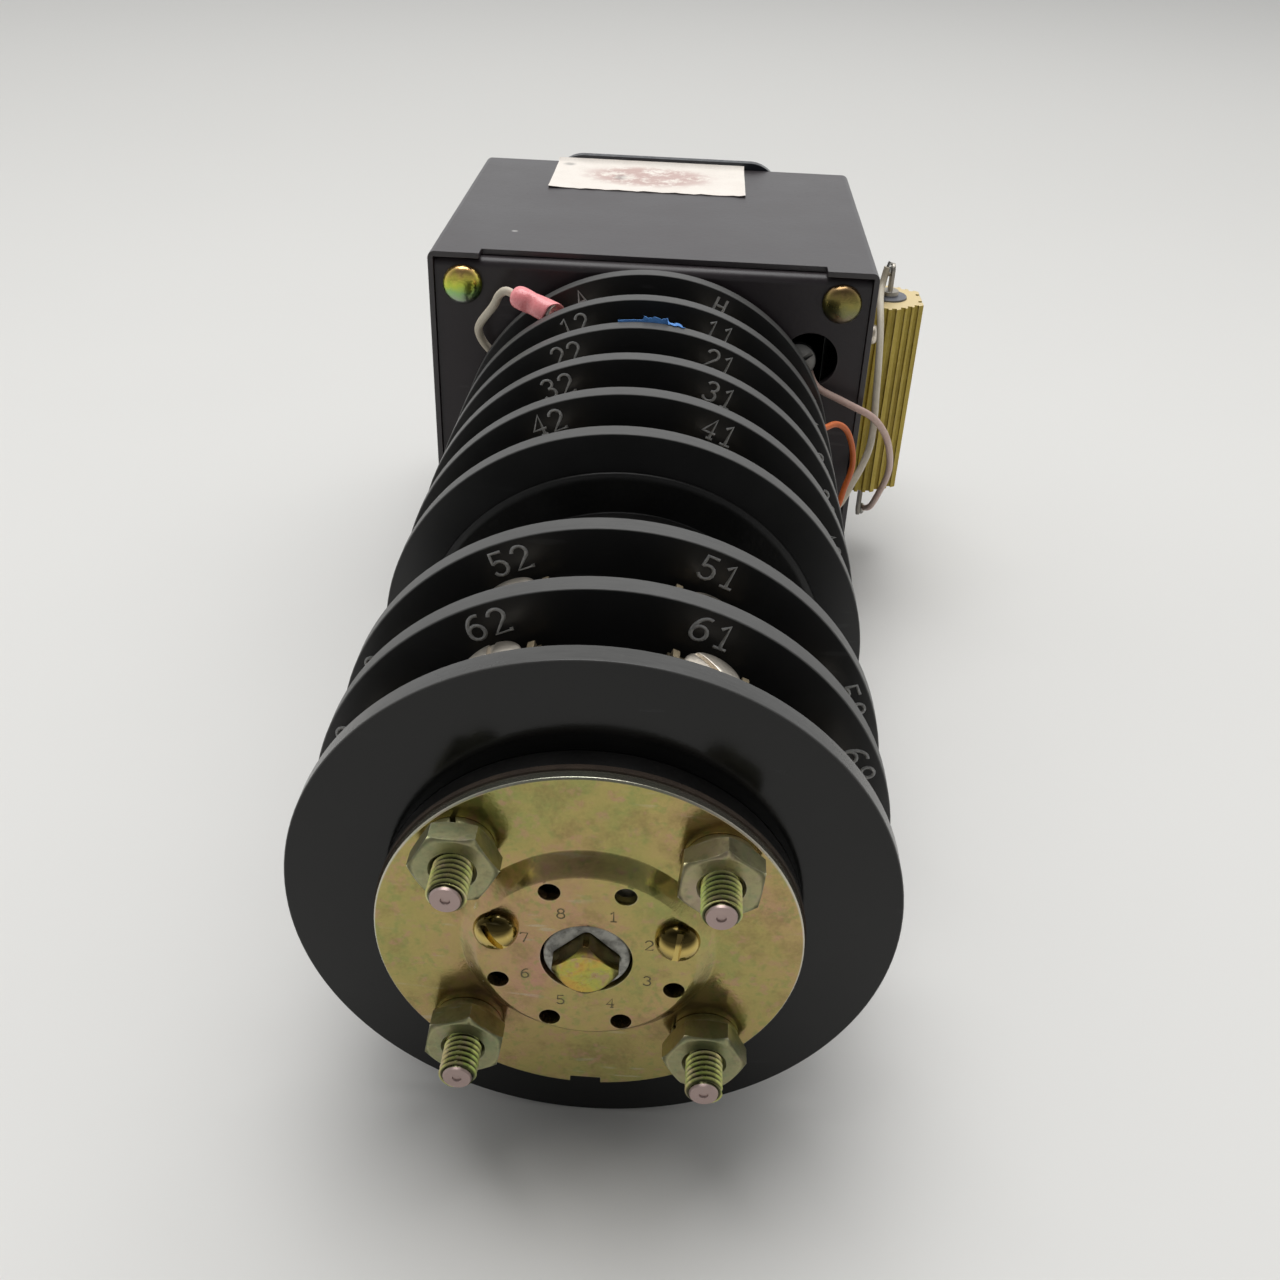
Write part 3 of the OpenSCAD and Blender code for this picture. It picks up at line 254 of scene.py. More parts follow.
def thickened(obj, thickness, offset):
    """Gives a sheet its thickness in mm and bakes its place."""
    wall = obj.modifiers.new("thickness", "SOLIDIFY")
    wall.thickness = thickness * MM
    wall.offset = offset
    apply_all(obj)
    return obj


def placed(obj, matrix):
    """Moves a mesh to its place by a matrix, its object staying at the origin."""
    obj.data.transform(matrix)
    return obj


def shift(x, y, z):
    """Matrix of a move in mm."""
    return Matrix.Translation(Vector((x, y, z)) * MM)


def spin(angle, axis):
    """Matrix of a turn in degrees about an axis."""
    return Matrix.Rotation(math.radians(angle), 4, axis)


def facing(right, up, out):
    """Matrix that lays X, Y and Z of a piece along three directions."""
    return Matrix((right, up, out)).transposed().to_4x4()


def from_axis(start, end):
    """Matrix that puts a piece made along Z on the line from start to end, in mm."""
    a, b = Vector(start) * MM, Vector(end) * MM
    return Matrix.Translation(a) @ (b - a).to_track_quat("Z", "Y").to_matrix().to_4x4()


print("helpers ready")

# %% [markdown]
# ## Shader groups that several finishes share
# Real finishes are never one flat value. Four effects come back on almost every part of this switch:
# cloudy variation, bright wear where edges were touched, fine scratches, and pale dust that settles on
# what faces up. Each is built once as a node group and used with other numbers in each material. A socket
# knows the node tree that it belongs to, so the small calls below need only the sockets.


# %% Node group tools
def feed(place, value):
    """Gives an input a value, or the socket that drives it."""
    if isinstance(value, bpy.types.NodeSocket):
        value.id_data.links.new(value, place)
    else:
        place.default_value = value


def node(tree, kind, **settings):
    """Adds a node; a setting is a property of the node or feeds the input of that name."""
    made = tree.nodes.new(kind)
    for key, value in settings.items():
        if key in made.inputs:
            feed(made.inputs[key], value)
        else:
            setattr(made, key, value)
    return made


def calc(operation, *values, clamp=False):
    """A math node fed by sockets or numbers; returns its output."""
    tree = next(v for v in values if isinstance(v, bpy.types.NodeSocket)).id_data
    made = node(tree, "ShaderNodeMath", operation=operation, use_clamp=clamp)
    for place, value in zip(made.inputs, values):
        feed(place, value)
    return made.outputs[0]


def times(a, b, clamp=False):
    return calc("MULTIPLY", a, b, clamp=clamp)


def plus(a, b, clamp=False):
    return calc("ADD", a, b, clamp=clamp)


def less(a, b):
    return calc("SUBTRACT", a, b)


def ramp(factor, low, high, to_low=0.0, to_high=1.0, smooth=True):
    """Maps factor from low..high to to_low..to_high, clamped."""
    curve = "SMOOTHSTEP" if smooth else "LINEAR"
    made = node(factor.id_data, "ShaderNodeMapRange", interpolation_type=curve)
    for place, value in zip(made.inputs, (factor, low, high, to_low, to_high)):
        feed(place, value)
    return made.outputs[0]


def bands(factor, stops):
    """Colours that follow each other over factor; each stop is (place, colour)."""
    made = node(factor.id_data, "ShaderNodeValToRGB", Fac=factor)
    elements = made.color_ramp.elements
    for element, (place, colour) in zip(elements, (stops[0], stops[-1])):
        element.position, element.color = place, (*colour, 1.0)
    for place, colour in stops[1:-1]:
        elements.new(place).color = (*colour, 1.0)
    return made.outputs[0]


def noise(vector, scale, detail=4.0, rough=0.55, distortion=0.0):
    """Noise over a vector."""
    values = {"Scale": scale, "Detail": detail, "Roughness": rough, "Distortion": distortion}
    return node(vector.id_data, "ShaderNodeTexNoise", Vector=vector, **values).outputs[0]


def mapped(vector, **settings):
    """A vector moved, turned or stretched."""
    return node(vector.id_data, "ShaderNodeMapping", Vector=vector, **settings).outputs[0]


def split(vector):
    """The X, Y and Z of a vector."""
    return node(vector.id_data, "ShaderNodeSeparateXYZ", Vector=vector).outputs


def new_group(name, inputs, outputs):
    """A shader node group that takes a vector and numbers, and gives numbers."""
    tree = bpy.data.node_groups.new(name, "ShaderNodeTree")
    add = tree.interface.new_socket
    add(name="Vector", in_out="INPUT", socket_type="NodeSocketVector")
    for label, value in inputs.items():
        add(name=label, in_out="INPUT", socket_type="NodeSocketFloat").default_value = value
    for label in outputs:
        add(name=label, in_out="OUTPUT", socket_type="NodeSocketFloat")
    return tree, tree.nodes.new("NodeGroupInput").outputs, tree.nodes.new("NodeGroupOutput").inputs


print("group tools ready")

# %% Cloudy variation
inputs, outputs = {"Scale": 60.0, "Contrast": 1.0}, ("Cloud", "Speckle")
cloudy, given, result = new_group("cloudy_variation", inputs, outputs)
big = noise(given["Vector"], given["Scale"], 5.0, 0.5)
fine = noise(given["Vector"], times(given["Scale"], 14.0), 3.0, 0.5)
spread = times(less(big, 0.5), times(given["Contrast"], 2.6))
feed(result["Cloud"], plus(spread, 0.5, clamp=True))
feed(result["Speckle"], ramp(fine, 0.35, 0.68))
print("group:", cloudy.name)

# %% Worn edges
worn_edges, given, result = new_group("worn_edges", {"Radius": 0.0006, "Amount": 1.0}, ("Wear",))
rounded = node(worn_edges, "ShaderNodeBevel", samples=6, Radius=given["Radius"])
flat = node(worn_edges, "ShaderNodeNewGeometry")
product = node(worn_edges, "ShaderNodeVectorMath", operation="DOT_PRODUCT")
feed(product.inputs[0], rounded.outputs[0])
feed(product.inputs[1], flat.outputs["Normal"])
corner = ramp(product.outputs["Value"], 0.985, 0.80)
broken = ramp(noise(given["Vector"], 420.0, 5.0, 0.65), 0.40, 0.66)
feed(result["Wear"], times(times(corner, broken), given["Amount"], clamp=True))
print("group:", worn_edges.name)

# %% Fine scratches
scratches, given, result = new_group("fine_scratches", {"Scale": 90.0, "Amount": 1.0}, ("Scratch",))
lines = []
for turn, stretch in (((0.4, 0.2, 0.5), 14.0), ((-0.3, 0.6, -0.8), 18.0)):
    laid = mapped(given["Vector"], Rotation=turn, Scale=(1.0, stretch, 1.0 + stretch / 3))
    lines.append(ramp(noise(laid, given["Scale"], 2.0, 0.5), 0.66, 0.74))
patch = ramp(noise(given["Vector"], 35.0, 3.0), 0.42, 0.62)
feed(result["Scratch"], times(times(calc("MAXIMUM", *lines), patch), given["Amount"], clamp=True))
print("group:", scratches.name)

# %% Settled dust
dusty, given, result = new_group("settled_dust", {"Amount": 0.5}, ("Dust",))
geometry = node(dusty, "ShaderNodeNewGeometry")
up = ramp(split(geometry.outputs["Normal"])["Z"], 0.15, 0.95)
veil = ramp(noise(given["Vector"], 55.0, 6.0, 0.65), 0.35, 0.75)
specks = ramp(noise(given["Vector"], 900.0, 2.0, 0.5), 0.60, 0.72)
laid = plus(times(veil, 0.55), times(specks, 0.6))
feed(result["Dust"], times(times(laid, up), given["Amount"], clamp=True))
print("group:", dusty.name)

# %% [markdown]
# ## A common skeleton for finishes
# Every finish starts from the same skeleton: a Principled shader, the object's own coordinates, and a
# colour that is mixed in layers, the base first and then cloud, wear, scratches and dust. The numbers that
# are the same all over a surface sit on the shader's own sockets.


# %% The skeleton
class Finish:
    """A material under construction, with small calls for each layer."""

    def __init__(self, name, base, roughness, metallic=0.0):
        self.material = bpy.data.materials.new(name)
        self.material.use_nodes = True
        self.material.diffuse_color = (*base, 1.0)
        self.tree = self.material.node_tree
        self.shader = self.tree.nodes["Principled BSDF"].inputs
        self.shader["Metallic"].default_value = metallic
        self.where = node(self.tree, "ShaderNodeTexCoord").outputs["Object"]
        self.colour = node(self.tree, "ShaderNodeRGB").outputs[0]
        self.colour.default_value = (*base, 1.0)
        self.rough = roughness
        self.height = None

    def group(self, tree, **values):
        """The outputs of a shared group."""
        return node(self.tree, "ShaderNodeGroup", node_tree=tree, Vector=self.where, **values).outputs

    def mix(self, factor, colour, strength=1.0):
        """Mixes colour over what is there, where factor is 1."""
        if strength != 1.0:
            factor = times(factor, strength)
        made = node(self.tree, "ShaderNodeMix", data_type="RGBA")
        for i, value in ((0, factor), (6, self.colour), (7, (*colour, 1.0))):
            feed(made.inputs[i], value)
        self.colour = made.outputs[2]

    def layer(self, tree, colour, strength, **values):
        """Mixes colour over what is there by a shared group's first output, and returns that output."""
        mask = self.group(tree, **values)[0]
        self.mix(mask, colour, strength)
        return mask

    def roughen(self, factor, amount):
        """Adds amount to the roughness where factor is 1."""
        self.rough = plus(times(factor, amount), self.rough)

    def relief(self, factor, amount):
        """Adds a height of amount metres where factor is 1."""
        added = times(factor, amount)
        self.height = added if self.height is None else plus(self.height, added)

    def metal(self, factor, low, high):
        """Lets the metallic value run from low to high with factor."""
        feed(self.shader["Metallic"], ramp(factor, 0.0, 1.0, low, high, smooth=False))

    def done(self, **sockets):
        """Wires the layers to the shader and returns the material."""
        feed(self.shader["Base Color"], self.colour)
        if not isinstance(self.rough, float):
            self.rough = calc("MAXIMUM", self.rough, 0.04, clamp=True)
        feed(self.shader["Roughness"], self.rough)
        if self.height is not None:
            bump = node(self.tree, "ShaderNodeBump", Distance=1.0, Height=self.height)
            feed(self.shader["Normal"], bump.outputs[0])
        for key, value in sockets.items():
            self.shader[key.replace("_", " ")].default_value = value
        return self.material


print("skeleton ready")

# %% [markdown]
# ## Spots and distances
# Some marks sit at one known place, such as a chip in the paint or a stain on the paper. A mask that is
# one inside a small ellipsoid and fades out at its edge paints them, and a distance from the shaft axis
# tells the rim of a disc from its face.


# %% Spot mask and distance from the axis
def spot(vector, centre, radii, edge):
    """A mask that is 1 inside an ellipsoid given in mm and fades to 0 at its border."""
    scale = tuple(1.0 / (r * MM) for r in radii)
    laid = mapped(vector, Scale=scale, Location=tuple(-c / r for c, r in zip(centre, radii)))
    length = node(vector.id_data, "ShaderNodeVectorMath", operation="LENGTH", Vector=laid)
    return ramp(length.outputs["Value"], 1.0, 1.0 - edge)


def from_shaft(vector):
    """Distance from the shaft axis, which is the Y axis."""
    x, _, z = split(vector)
    return calc("SQRT", plus(times(x, x), times(z, z)))


def shade(colour, share, more=0.0):
    """A colour made lighter or darker by a share, no channel over 1."""
    return tuple(min(1.0, c * share + more) for c in colour)


print("masks ready")

# %% [markdown]
# ## Box paint
# The box is bent steel sheet under a dark plum-brown baking enamel with a fine orange-peel skin. It is
# nearly black in shadow and turns grey where the bright room is mirrored in it. Its edges are rubbed a
# little, and one chip behind the middle of the cover shows the pale primer. The rear panel has a copy of
# the same paint with a weaker reflection, so that it renders darker: painted shade.

# %% Box paint
paint = Finish("plum_brown_enamel", (0.022, 0.0172, 0.0198), 0.33)
cloud = paint.layer(cloudy, (0.036, 0.028, 0.031), 0.7, Scale=38.0, Contrast=1.0)
paint.roughen(cloud, 0.08)
peel = noise(paint.where, 900.0, 2.0, 0.5)
paint.relief(peel, 0.000020)
paint.layer(scratches, (0.12, 0.11, 0.11), 0.3, Scale=60.0, Amount=0.6)
paint.layer(worn_edges, (0.16, 0.145, 0.14), 0.45, Radius=0.0006, Amount=0.8)
chip = spot(paint.where, (30.6, 63.7, 40.3), (0.9, 0.7, 0.6), 0.6)
paint.mix(chip, (0.42, 0.40, 0.38), 0.9)
dust = paint.layer(dusty, (0.22, 0.21, 0.20), 0.30, Amount=0.45)
paint.roughen(dust, 0.2)
box_paint = paint.done(Specular_IOR_Level=0.70)
# A copy with a weaker reflection for the rear panel: painted shade.
rear_paint = box_paint.copy()
rear_paint.name = "plum_brown_enamel_rear"
rear_paint.node_tree.nodes["Principled BSDF"].inputs["Specular IOR Level"].default_value = 0.42
print("materials:", box_paint.name, rear_paint.name)

# %% [markdown]
# ## Laminate discs
# The discs are punched from black paper laminate. The faces are smooth and nearly black, and the cut rim
# shows the raw grey fibre, so one material tells them apart by the distance from the shaft axis.

# %% Laminate with a grey rim
disc_edge = (0.03945, 0.03962)
grey_rim = (0.068, 0.067, 0.064)


def laminate(name, face, rough, gloss):
    made = Finish(name, face, rough)
    cloud = made.layer(cloudy, shade(face, 1.6), 0.6, Scale=70.0, Contrast=1.1)
    made.roughen(cloud, 0.07)
    made.relief(noise(made.where, 1500.0, 3.0, 0.6), 0.000006)
    scratch = made.layer(scratches, (0.10, 0.10, 0.105), 0.22, Scale=80.0, Amount=0.7)
    made.roughen(scratch, 0.1)
    edge = ramp(from_shaft(made.where), *disc_edge)
    layers = noise(mapped(made.where, Scale=(1.0, 9.0, 1.0)), 260.0, 4.0, 0.6)
    made.mix(edge, grey_rim)
    made.mix(times(edge, ramp(layers, 0.35, 0.7)), shade(grey_rim, 0.7), 0.5)
    made.roughen(edge, 0.14)
    made.layer(dusty, (0.25, 0.24, 0.23), 0.12, Amount=0.4)
    return made.done(Specular_IOR_Level=gloss)


# The nine discs are one laminate. The inner discs' faces are painted lighter, as painted light for the light
# that does not reach between the discs, and the rear disc's copy is darker with a weaker reflection, as
# painted shade.
inner_discs_lightened = laminate("laminate_painted_light", (0.0140, 0.0140, 0.0142), 0.30, 0.5)
disc_nine_darkened = laminate("laminate_disc_nine_painted_shade", (0.0050, 0.0050, 0.0048), 0.10, 0.32)
print("materials:", inner_discs_lightened.name, disc_nine_darkened.name)

# %% [markdown]
# ## Mouldings
# The stator rings, the double spacer and the stop housing are black phenolic, pressed in a hot mould. It
# is glossy where the mould was, with a faint flow pattern. The rotors are the brown grade.


# %% Phenolic mouldings
def phenolic(name, base, rough):
    made = Finish(name, base, rough)
    cloud, speckle = made.group(cloudy, Scale=120.0, Contrast=1.2)
    made.mix(cloud, shade(base, 1.8, 0.001), 0.6)
    made.mix(speckle, shade(base, 2.6, 0.002), 0.25)
    made.roughen(cloud, 0.12)
    made.relief(speckle, 0.000008)
    made.layer(dusty, (0.16, 0.15, 0.14), 0.15, Amount=0.3)
    made.layer(worn_edges, shade(base, 4, 0.012), 0.2, Radius=0.0005, Amount=0.5)
    return made.done(Specular_IOR_Level=0.38)


black_phenolic = phenolic("black_phenolic", (0.0060, 0.0058, 0.0056), 0.30)
brown_phenolic = phenolic("brown_phenolic", (0.050, 0.022, 0.011), 0.34)
handle_black = phenolic("handle_thermoset", (0.0065, 0.0065, 0.0070), 0.24)
print("materials:", black_phenolic.name, brown_phenolic.name, handle_black.name)

# %% [markdown]
# ## Yellow chromate on zinc
# The end plate, the shaft's end, the studs and the nuts have the straw-yellow passivation of old switch
# hardware. Its film is as thin as a wave of light, so green and rose bands drift over the surface, which
# a colour ramp driven by slow noise imitates. Brown tarnish lies over it in small clouds, and where tools
# rubbed, grey zinc shows. The plate's rim is painted pale, partly rubbed wear and partly a painted
# highlight, and the flanks of the shaft just behind its end are painted dark, a painted reflection of the
# dark bore.


# %% Yellow chromate
def chromate(name, rough, colours, edge_wear_and_highlight, scale, lean=0.0):
    """Chromate whose five colours drift over the surface, and lean to rose on the -X side."""
    made = Finish(name, colours[2], rough, metallic=0.92)
    drift = noise(made.where, scale, 8.0, 0.66, 0.4)
    if lean:
        right = calc("MAXIMUM", times(split(made.where)["X"], -1.0), 0.0)
        drift = plus(drift, times(right, lean))
    made.colour = bands(drift, list(zip((0.34, 0.44, 0.51, 0.58, 0.68), colours)))
    made.mix(ramp(noise(made.where, 820.0, 2.0, 0.6), 0.52, 0.68), colours[0], 0.6)
    tarnish = noise(made.where, scale * 6.0, 6.0, 0.7)
    made.mix(ramp(tarnish, 0.48, 0.68), shade(colours[3], 0.52), 0.6)
    made.mix(ramp(noise(made.where, 610.0, 2.0, 0.6), 0.54, 0.70), colours[-1], 0.5)
    cloud, speckle = made.group(cloudy, Scale=150.0, Contrast=1.2)
    made.mix(cloud, shade(colours[2], 0.78), 0.3)
    made.mix(speckle, shade(colours[2], 1.18), 0.2)
    made.roughen(cloud, 0.08)
    made.relief(speckle, 0.000006)
    scratch = made.layer(scratches, (0.58, 0.57, 0.50), 0.35, Scale=120.0, Amount=0.8)
    made.roughen(scratch, 0.08)
    # Bright edges: rubbed wear, and where the amount is raised, as on the plate and the nuts, also a painted
    # highlight.
    made.layer(worn_edges, (0.60, 0.58, 0.50), 0.6, Radius=0.0004, Amount=edge_wear_and_highlight)
    return made


straw = (0.26, 0.31, 0.10), (0.37, 0.34, 0.115), (0.44, 0.36, 0.13), (0.47, 0.33, 0.15), (0.51, 0.26, 0.21)
olive = (0.23, 0.28, 0.15), (0.31, 0.31, 0.17), (0.36, 0.34, 0.18), (0.38, 0.33, 0.19), (0.37, 0.28, 0.22)
green = (0.30, 0.42, 0.10), (0.44, 0.50, 0.13), (0.52, 0.52, 0.18), (0.55, 0.46, 0.22), (0.58, 0.36, 0.34)
warm = (0.44, 0.24, 0.22), (0.40, 0.42, 0.10), (0.48, 0.44, 0.09), (0.60, 0.38, 0.08), (0.58, 0.24, 0.08)
plate_edge, shaft_tip = (0.02668, 0.02688), (0.23338, 0.23305)
made = chromate("yellow_chromate_plate", 0.17, straw, 1.2, 34.0, 5.0)
# A pale ring on the plate's rim: partly rubbed wear, partly a painted highlight.
made.mix(ramp(from_shaft(made.where), *plate_edge), (0.62, 0.63, 0.60), 0.6)
plate_chromate = made.done()
nut_chromate = chromate("yellow_chromate_nuts", 0.33, olive, 2.2, 90.0).done()
made = chromate("yellow_chromate_shaft", 0.22, warm, 0.7, 210.0)
# Painted reflection: the flanks just behind the shaft's end are darkened as if they mirrored the dark bore.
painted_dark_flanks = ramp(split(made.where)["Y"], *shaft_tip)
made.mix(painted_dark_flanks, (0.060, 0.048, 0.026), 0.80)
shaft_chromate = made.done()
print("chromate on plate, nuts and shaft")

# %% [markdown]
# On the studs the grooves of the thread are painted dark, as painted shade, and the cut ends are rosy.
# The four studs stand at the same distance from both axes, so folding the coordinates gives the distance from
# any stud's middle.

# %% Chromate on the studs
stud_from_axis = 15.6
thread_groove, stud_end = (0.00232, 0.00206), (0.23755, 0.23765)
made = chromate("yellow_chromate_studs", 0.16, green, 0.5, 170.0)
x, y, z = split(made.where)
beside = [less(calc("ABSOLUTE", axis), stud_from_axis * MM) for axis in (x, z)]
from_stud = calc("SQRT", plus(*(times(b, b) for b in beside)))
# Painted shade: the grooves of the thread are darkened.
made.mix(ramp(from_stud, *thread_groove), (0.032, 0.031, 0.016), 0.93)
cut_end = ramp(y, *stud_end, smooth=False)
made.mix(cut_end, (0.52, 0.39, 0.37), 0.75)
made.roughen(cut_end, 0.22)
stud_chromate = made.done()
print("material:", stud_chromate.name)

# %% [markdown]
# The domed bolts of the box show the film best: it runs from yellow at the top through green to grey,
# and the bolt beside the resistor is darker brown. The height above the bolt's middle drives a ramp.

# %% Chromate on the box bolts
bolt_height = (0.0315, 0.0385)
made = chromate("yellow_chromate_bolts", 0.22, warm, 0.6, 120.0)
x, _, z = split(made.where)
wobble = times(noise(made.where, 500.0, 2.0), 0.003)
level = ramp(plus(calc("ABSOLUTE", z), wobble), *bolt_height, smooth=False)
film = (0.34, 0.35, 0.33), (0.28, 0.48, 0.18), (0.48, 0.58, 0.08), (0.86, 0.74, 0.14), (0.80, 0.50, 0.20)
made.colour = bands(level, list(zip((0.0, 0.32, 0.55, 0.78, 1.0), film)))
bolt_beside_resistor = ramp(x, 0.002, -0.002)
made.mix(bolt_beside_resistor, (0.17, 0.11, 0.06), 0.78)
bolt_chromate = made.done()
print("material:", bolt_chromate.name)

# %% [markdown]
# ## Plain metals
# Nickel on the terminal screws, brass for the stop screws and terminals, clear zinc on the small steel
# parts, and bare steel inside. Each is a metal with its own brushed or cast grain.


# %% Plain metals
def plain_metal(name, base, rough, grain=140.0, relief=0.000008):
    made = Finish(name, base, rough, metallic=1.0)
    cloud, speckle = made.group(cloudy, Scale=grain, Contrast=1.2)
    made.mix(cloud, shade(base, 0.55), 0.45)
    made.mix(speckle, shade(base, 1.25), 0.25)
    made.roughen(cloud, 0.14)
    made.relief(speckle, relief)
    made.layer(scratches, shade(base, 1.3), 0.35, Scale=150.0, Amount=0.9)
    made.layer(worn_edges, shade(base, 1.3), 0.5, Radius=0.0004, Amount=0.8)
    return made.done()


nickel = plain_metal("dull_nickel", (0.80, 0.73, 0.63), 0.30)
brass = plain_metal("bushing_brass", (0.62, 0.48, 0.20), 0.20, 200.0, 0.000004)
terminal_brass = plain_metal("terminal_brass", (0.40, 0.33, 0.22), 0.38)
zinc = plain_metal("clear_zinc", (0.50, 0.50, 0.47), 0.36)
steel = plain_metal("bare_steel", (0.36, 0.355, 0.345), 0.30)
# A darker steel for the screw behind the right lead hole: painted shade for its place inside the box.
screw_steel_darkened = plain_metal("screw_painted_shade", (0.20, 0.195, 0.185), 0.42)
copper = plain_metal("blade_copper", (0.60, 0.33, 0.20), 0.30)
tinned = plain_metal("solder", (0.50, 0.49, 0.46), 0.34)
print("eight plain metals")

# %% [markdown]
# The two stop screws are polished brass; the upper half of each head is painted dark brown, a painted
# reflection of the dark room above.

# %% Polished brass
stop_from_axis = 11.09
made = Finish("stop_screw_brass", (0.60, 0.46, 0.15), 0.12, metallic=1.0)
cloud, speckle = made.group(cloudy, Scale=300.0, Contrast=1.2)
made.mix(cloud, (0.46, 0.33, 0.09), 0.5)
made.roughen(speckle, 0.06)
# Painted reflection: a spot darkens the upper half of each head.
for x in (stop_from_axis, -stop_from_axis):
    painted_dark_reflection = spot(made.where, (x, 232.4, 7.0), (3.4, 2.4, 2.5), 0.35)
    made.mix(painted_dark_reflection, (0.045, 0.032, 0.010), 0.93)
made.layer(scratches, (0.80, 0.66, 0.34), 0.3, Scale=200.0, Amount=0.8)
brass_painted_reflection = made.done()
print("material:", brass_painted_reflection.name)

# %% [markdown]
# The stop hub is a zinc casting that grey oxide has eaten: dull, lumpy and blotched from white to black.
# A dark spot on its top is painted shadow of the bore's upper edge, darkened with rust.

# %% Corroded casting
# The casting's skin is lumpy, so two heights of noise raise it.
made = Finish("corroded_casting", (0.60, 0.59, 0.53), 0.66, metallic=0.10)
made.layer(cloudy, (0.13, 0.12, 0.10), 0.85, Scale=620.0, Contrast=2.2)
made.mix(made.group(cloudy, Scale=900.0, Contrast=1.5)["Speckle"], (0.68, 0.68, 0.64), 0.45)
made.relief(noise(made.where, 1400.0, 5.0, 0.7), 0.00016)
made.relief(noise(made.where, 500.0, 3.0, 0.6), 0.00020)
# Painted shadow, with rust: a dark spot on the top of the hub.
made.mix(spot(made.where, (-1.0, 230.6, 6.6), (4.5, 2.0, 2.2), 0.8), (0.06, 0.052, 0.042), 0.85)
cast_zinc = made.done()
print("material:", cast_zinc.name)

# %% [markdown]
# ## Gold anodising
# The resistor's housing is an aluminium extrusion in a dyed oxide skin, matt from years of warmth, with
# the fine lines of the drawing die along it and grime in its grooves.

# %% Gold anodising
gold = Finish("gold_anodising", (0.43, 0.33, 0.062), 0.42, metallic=0.7)
cloud, speckle = gold.group(cloudy, Scale=80.0, Contrast=1.2)
gold.mix(cloud, (0.34, 0.255, 0.048), 0.5)
gold.mix(speckle, (0.54, 0.43, 0.12), 0.25)
gold.roughen(cloud, 0.12)
lines = noise(mapped(gold.where, Scale=(1.0, 1.0, 0.03)), 1600.0, 2.0)
gold.relief(lines, 0.000022)
gold.mix(ramp(lines, 0.45, 0.70), (0.24, 0.17, 0.035), 0.4)
gold.layer(worn_edges, (0.66, 0.56, 0.30), 0.6, Radius=0.0004, Amount=0.8)
gold.layer(dusty, (0.70, 0.56, 0.28), 0.9, Amount=0.6)
# The top end face is painted pale: bare sawn metal, lightened further as a painted highlight of the light
# from above.
top_end_height = (0.02492, 0.02499)
lit_sawn_top = ramp(split(gold.where)["Z"], *top_end_height, smooth=False)
gold.mix(lit_sawn_top, (0.80, 0.65, 0.37), 0.85)
gold.metal(lit_sawn_top, 0.7, 0.5)
gold_anodised = gold.done()
print("material:", gold_anodised.name)

# %% [markdown]
# ## Plastics, ceramic, fibre and paper
# Insulation is slightly greasy plastic with dirt in it, the fibre under the end plate is rough and
# brown, and the label is worn paper. They share one recipe: a base, a darker stain that drifts over it,
# and a fine speckle.


# %% Dull finishes
def begun(name, base, rough, scale=200.0, stain=None, relief=0.000012):
    """A dull finish that can still get marks of its own."""
    made = Finish(name, base, rough)
    cloud, speckle = made.group(cloudy, Scale=scale, Contrast=1.3)
    made.mix(cloud, stain or shade(base, 0.72), 0.55)
    made.mix(speckle, shade(base, 1.15, 0.004), 0.3)
    made.roughen(speckle, 0.12)
    made.relief(speckle, relief)
    return made


def dull(*recipe, **sockets):
    return begun(*recipe).done(**sockets)


white_wire = dull("off_white_insulation", (0.62, 0.56, 0.45), 0.42, 90.0, (0.40, 0.34, 0.24))
pink_wire = dull("pinkish_insulation", (0.66, 0.50, 0.43), 0.42, 60.0, (0.46, 0.24, 0.20))
orange_wire = dull("orange_insulation", (0.66, 0.155, 0.032), 0.38, 90.0, (0.46, 0.09, 0.018))
sleeve_recipe = ("pink_sleeve", (1.0, 0.33, 0.345), 0.24, 160.0, (0.98, 0.24, 0.26), 0.00003)
sleeve_pink = dull(*sleeve_recipe, Coat_Weight=0.3)
gasket = dull("brown_fibre", (0.060, 0.040, 0.026), 0.85, 400.0, (0.022, 0.014, 0.010), 0.00012)
coil_wrap = dull("coil_varnish", (0.20, 0.06, 0.03), 0.40)
tape_blue = dull("blue_tape", (0.12, 0.36, 0.84), 0.55, 500.0, (0.05, 0.20, 0.62), 0.00004)
navy = (0.0035, 0.0055, 0.011), 0.30, 60.0, (0.006, 0.009, 0.016), 0.000006
plate_enamel = dull("nameplate_enamel", *navy)
front_enamel = dull("front_plate_enamel", (0.035, 0.035, 0.038), 0.45)
number_paint = dull("number_paint", (0.46, 0.46, 0.45), 0.55, 1400.0, (0.10, 0.10, 0.10))
mark_paint = dull("mark_paint", (0.52, 0.51, 0.48), 0.5, 300.0)
print("dull finishes ready")

# %% Paper, ceramic, target paint and stamped lines
made = begun("label_paper", (0.86, 0.80, 0.73), 0.62, 150.0, (0.76, 0.69, 0.62))
stain = noise(made.where, 260.0, 4.0, 0.7)
middle = spot(made.where, (4.0, 12.5, 41.0), (19.0, 11.5, 9.0), 0.45)
made.mix(times(middle, ramp(stain, 0.36, 0.56)), (0.50, 0.30, 0.27), 0.75)
for centre, radii in (((11.0, 14.5, 41.0), (2.2, 3.4, 9.0)), ((24.6, 3.4, 41.0), (2.2, 2.2, 9.0))):
    made.mix(times(spot(made.where, centre, radii, 0.8), stain), (0.16, 0.15, 0.15))
paper = made.done()

made = begun("dark_ceramic", (0.15, 0.155, 0.175), 0.42)
z = split(made.where)["Z"]
upper_lug, lower_lug = (0.0256, 0.0258), (-0.0216, -0.0218)
lug = plus(ramp(z, *upper_lug, smooth=False), ramp(z, *lower_lug, smooth=False), clamp=True)
made.mix(lug, (0.40, 0.375, 0.33))
made.metal(lug, 0.0, 0.9)
ceramic = made.done()

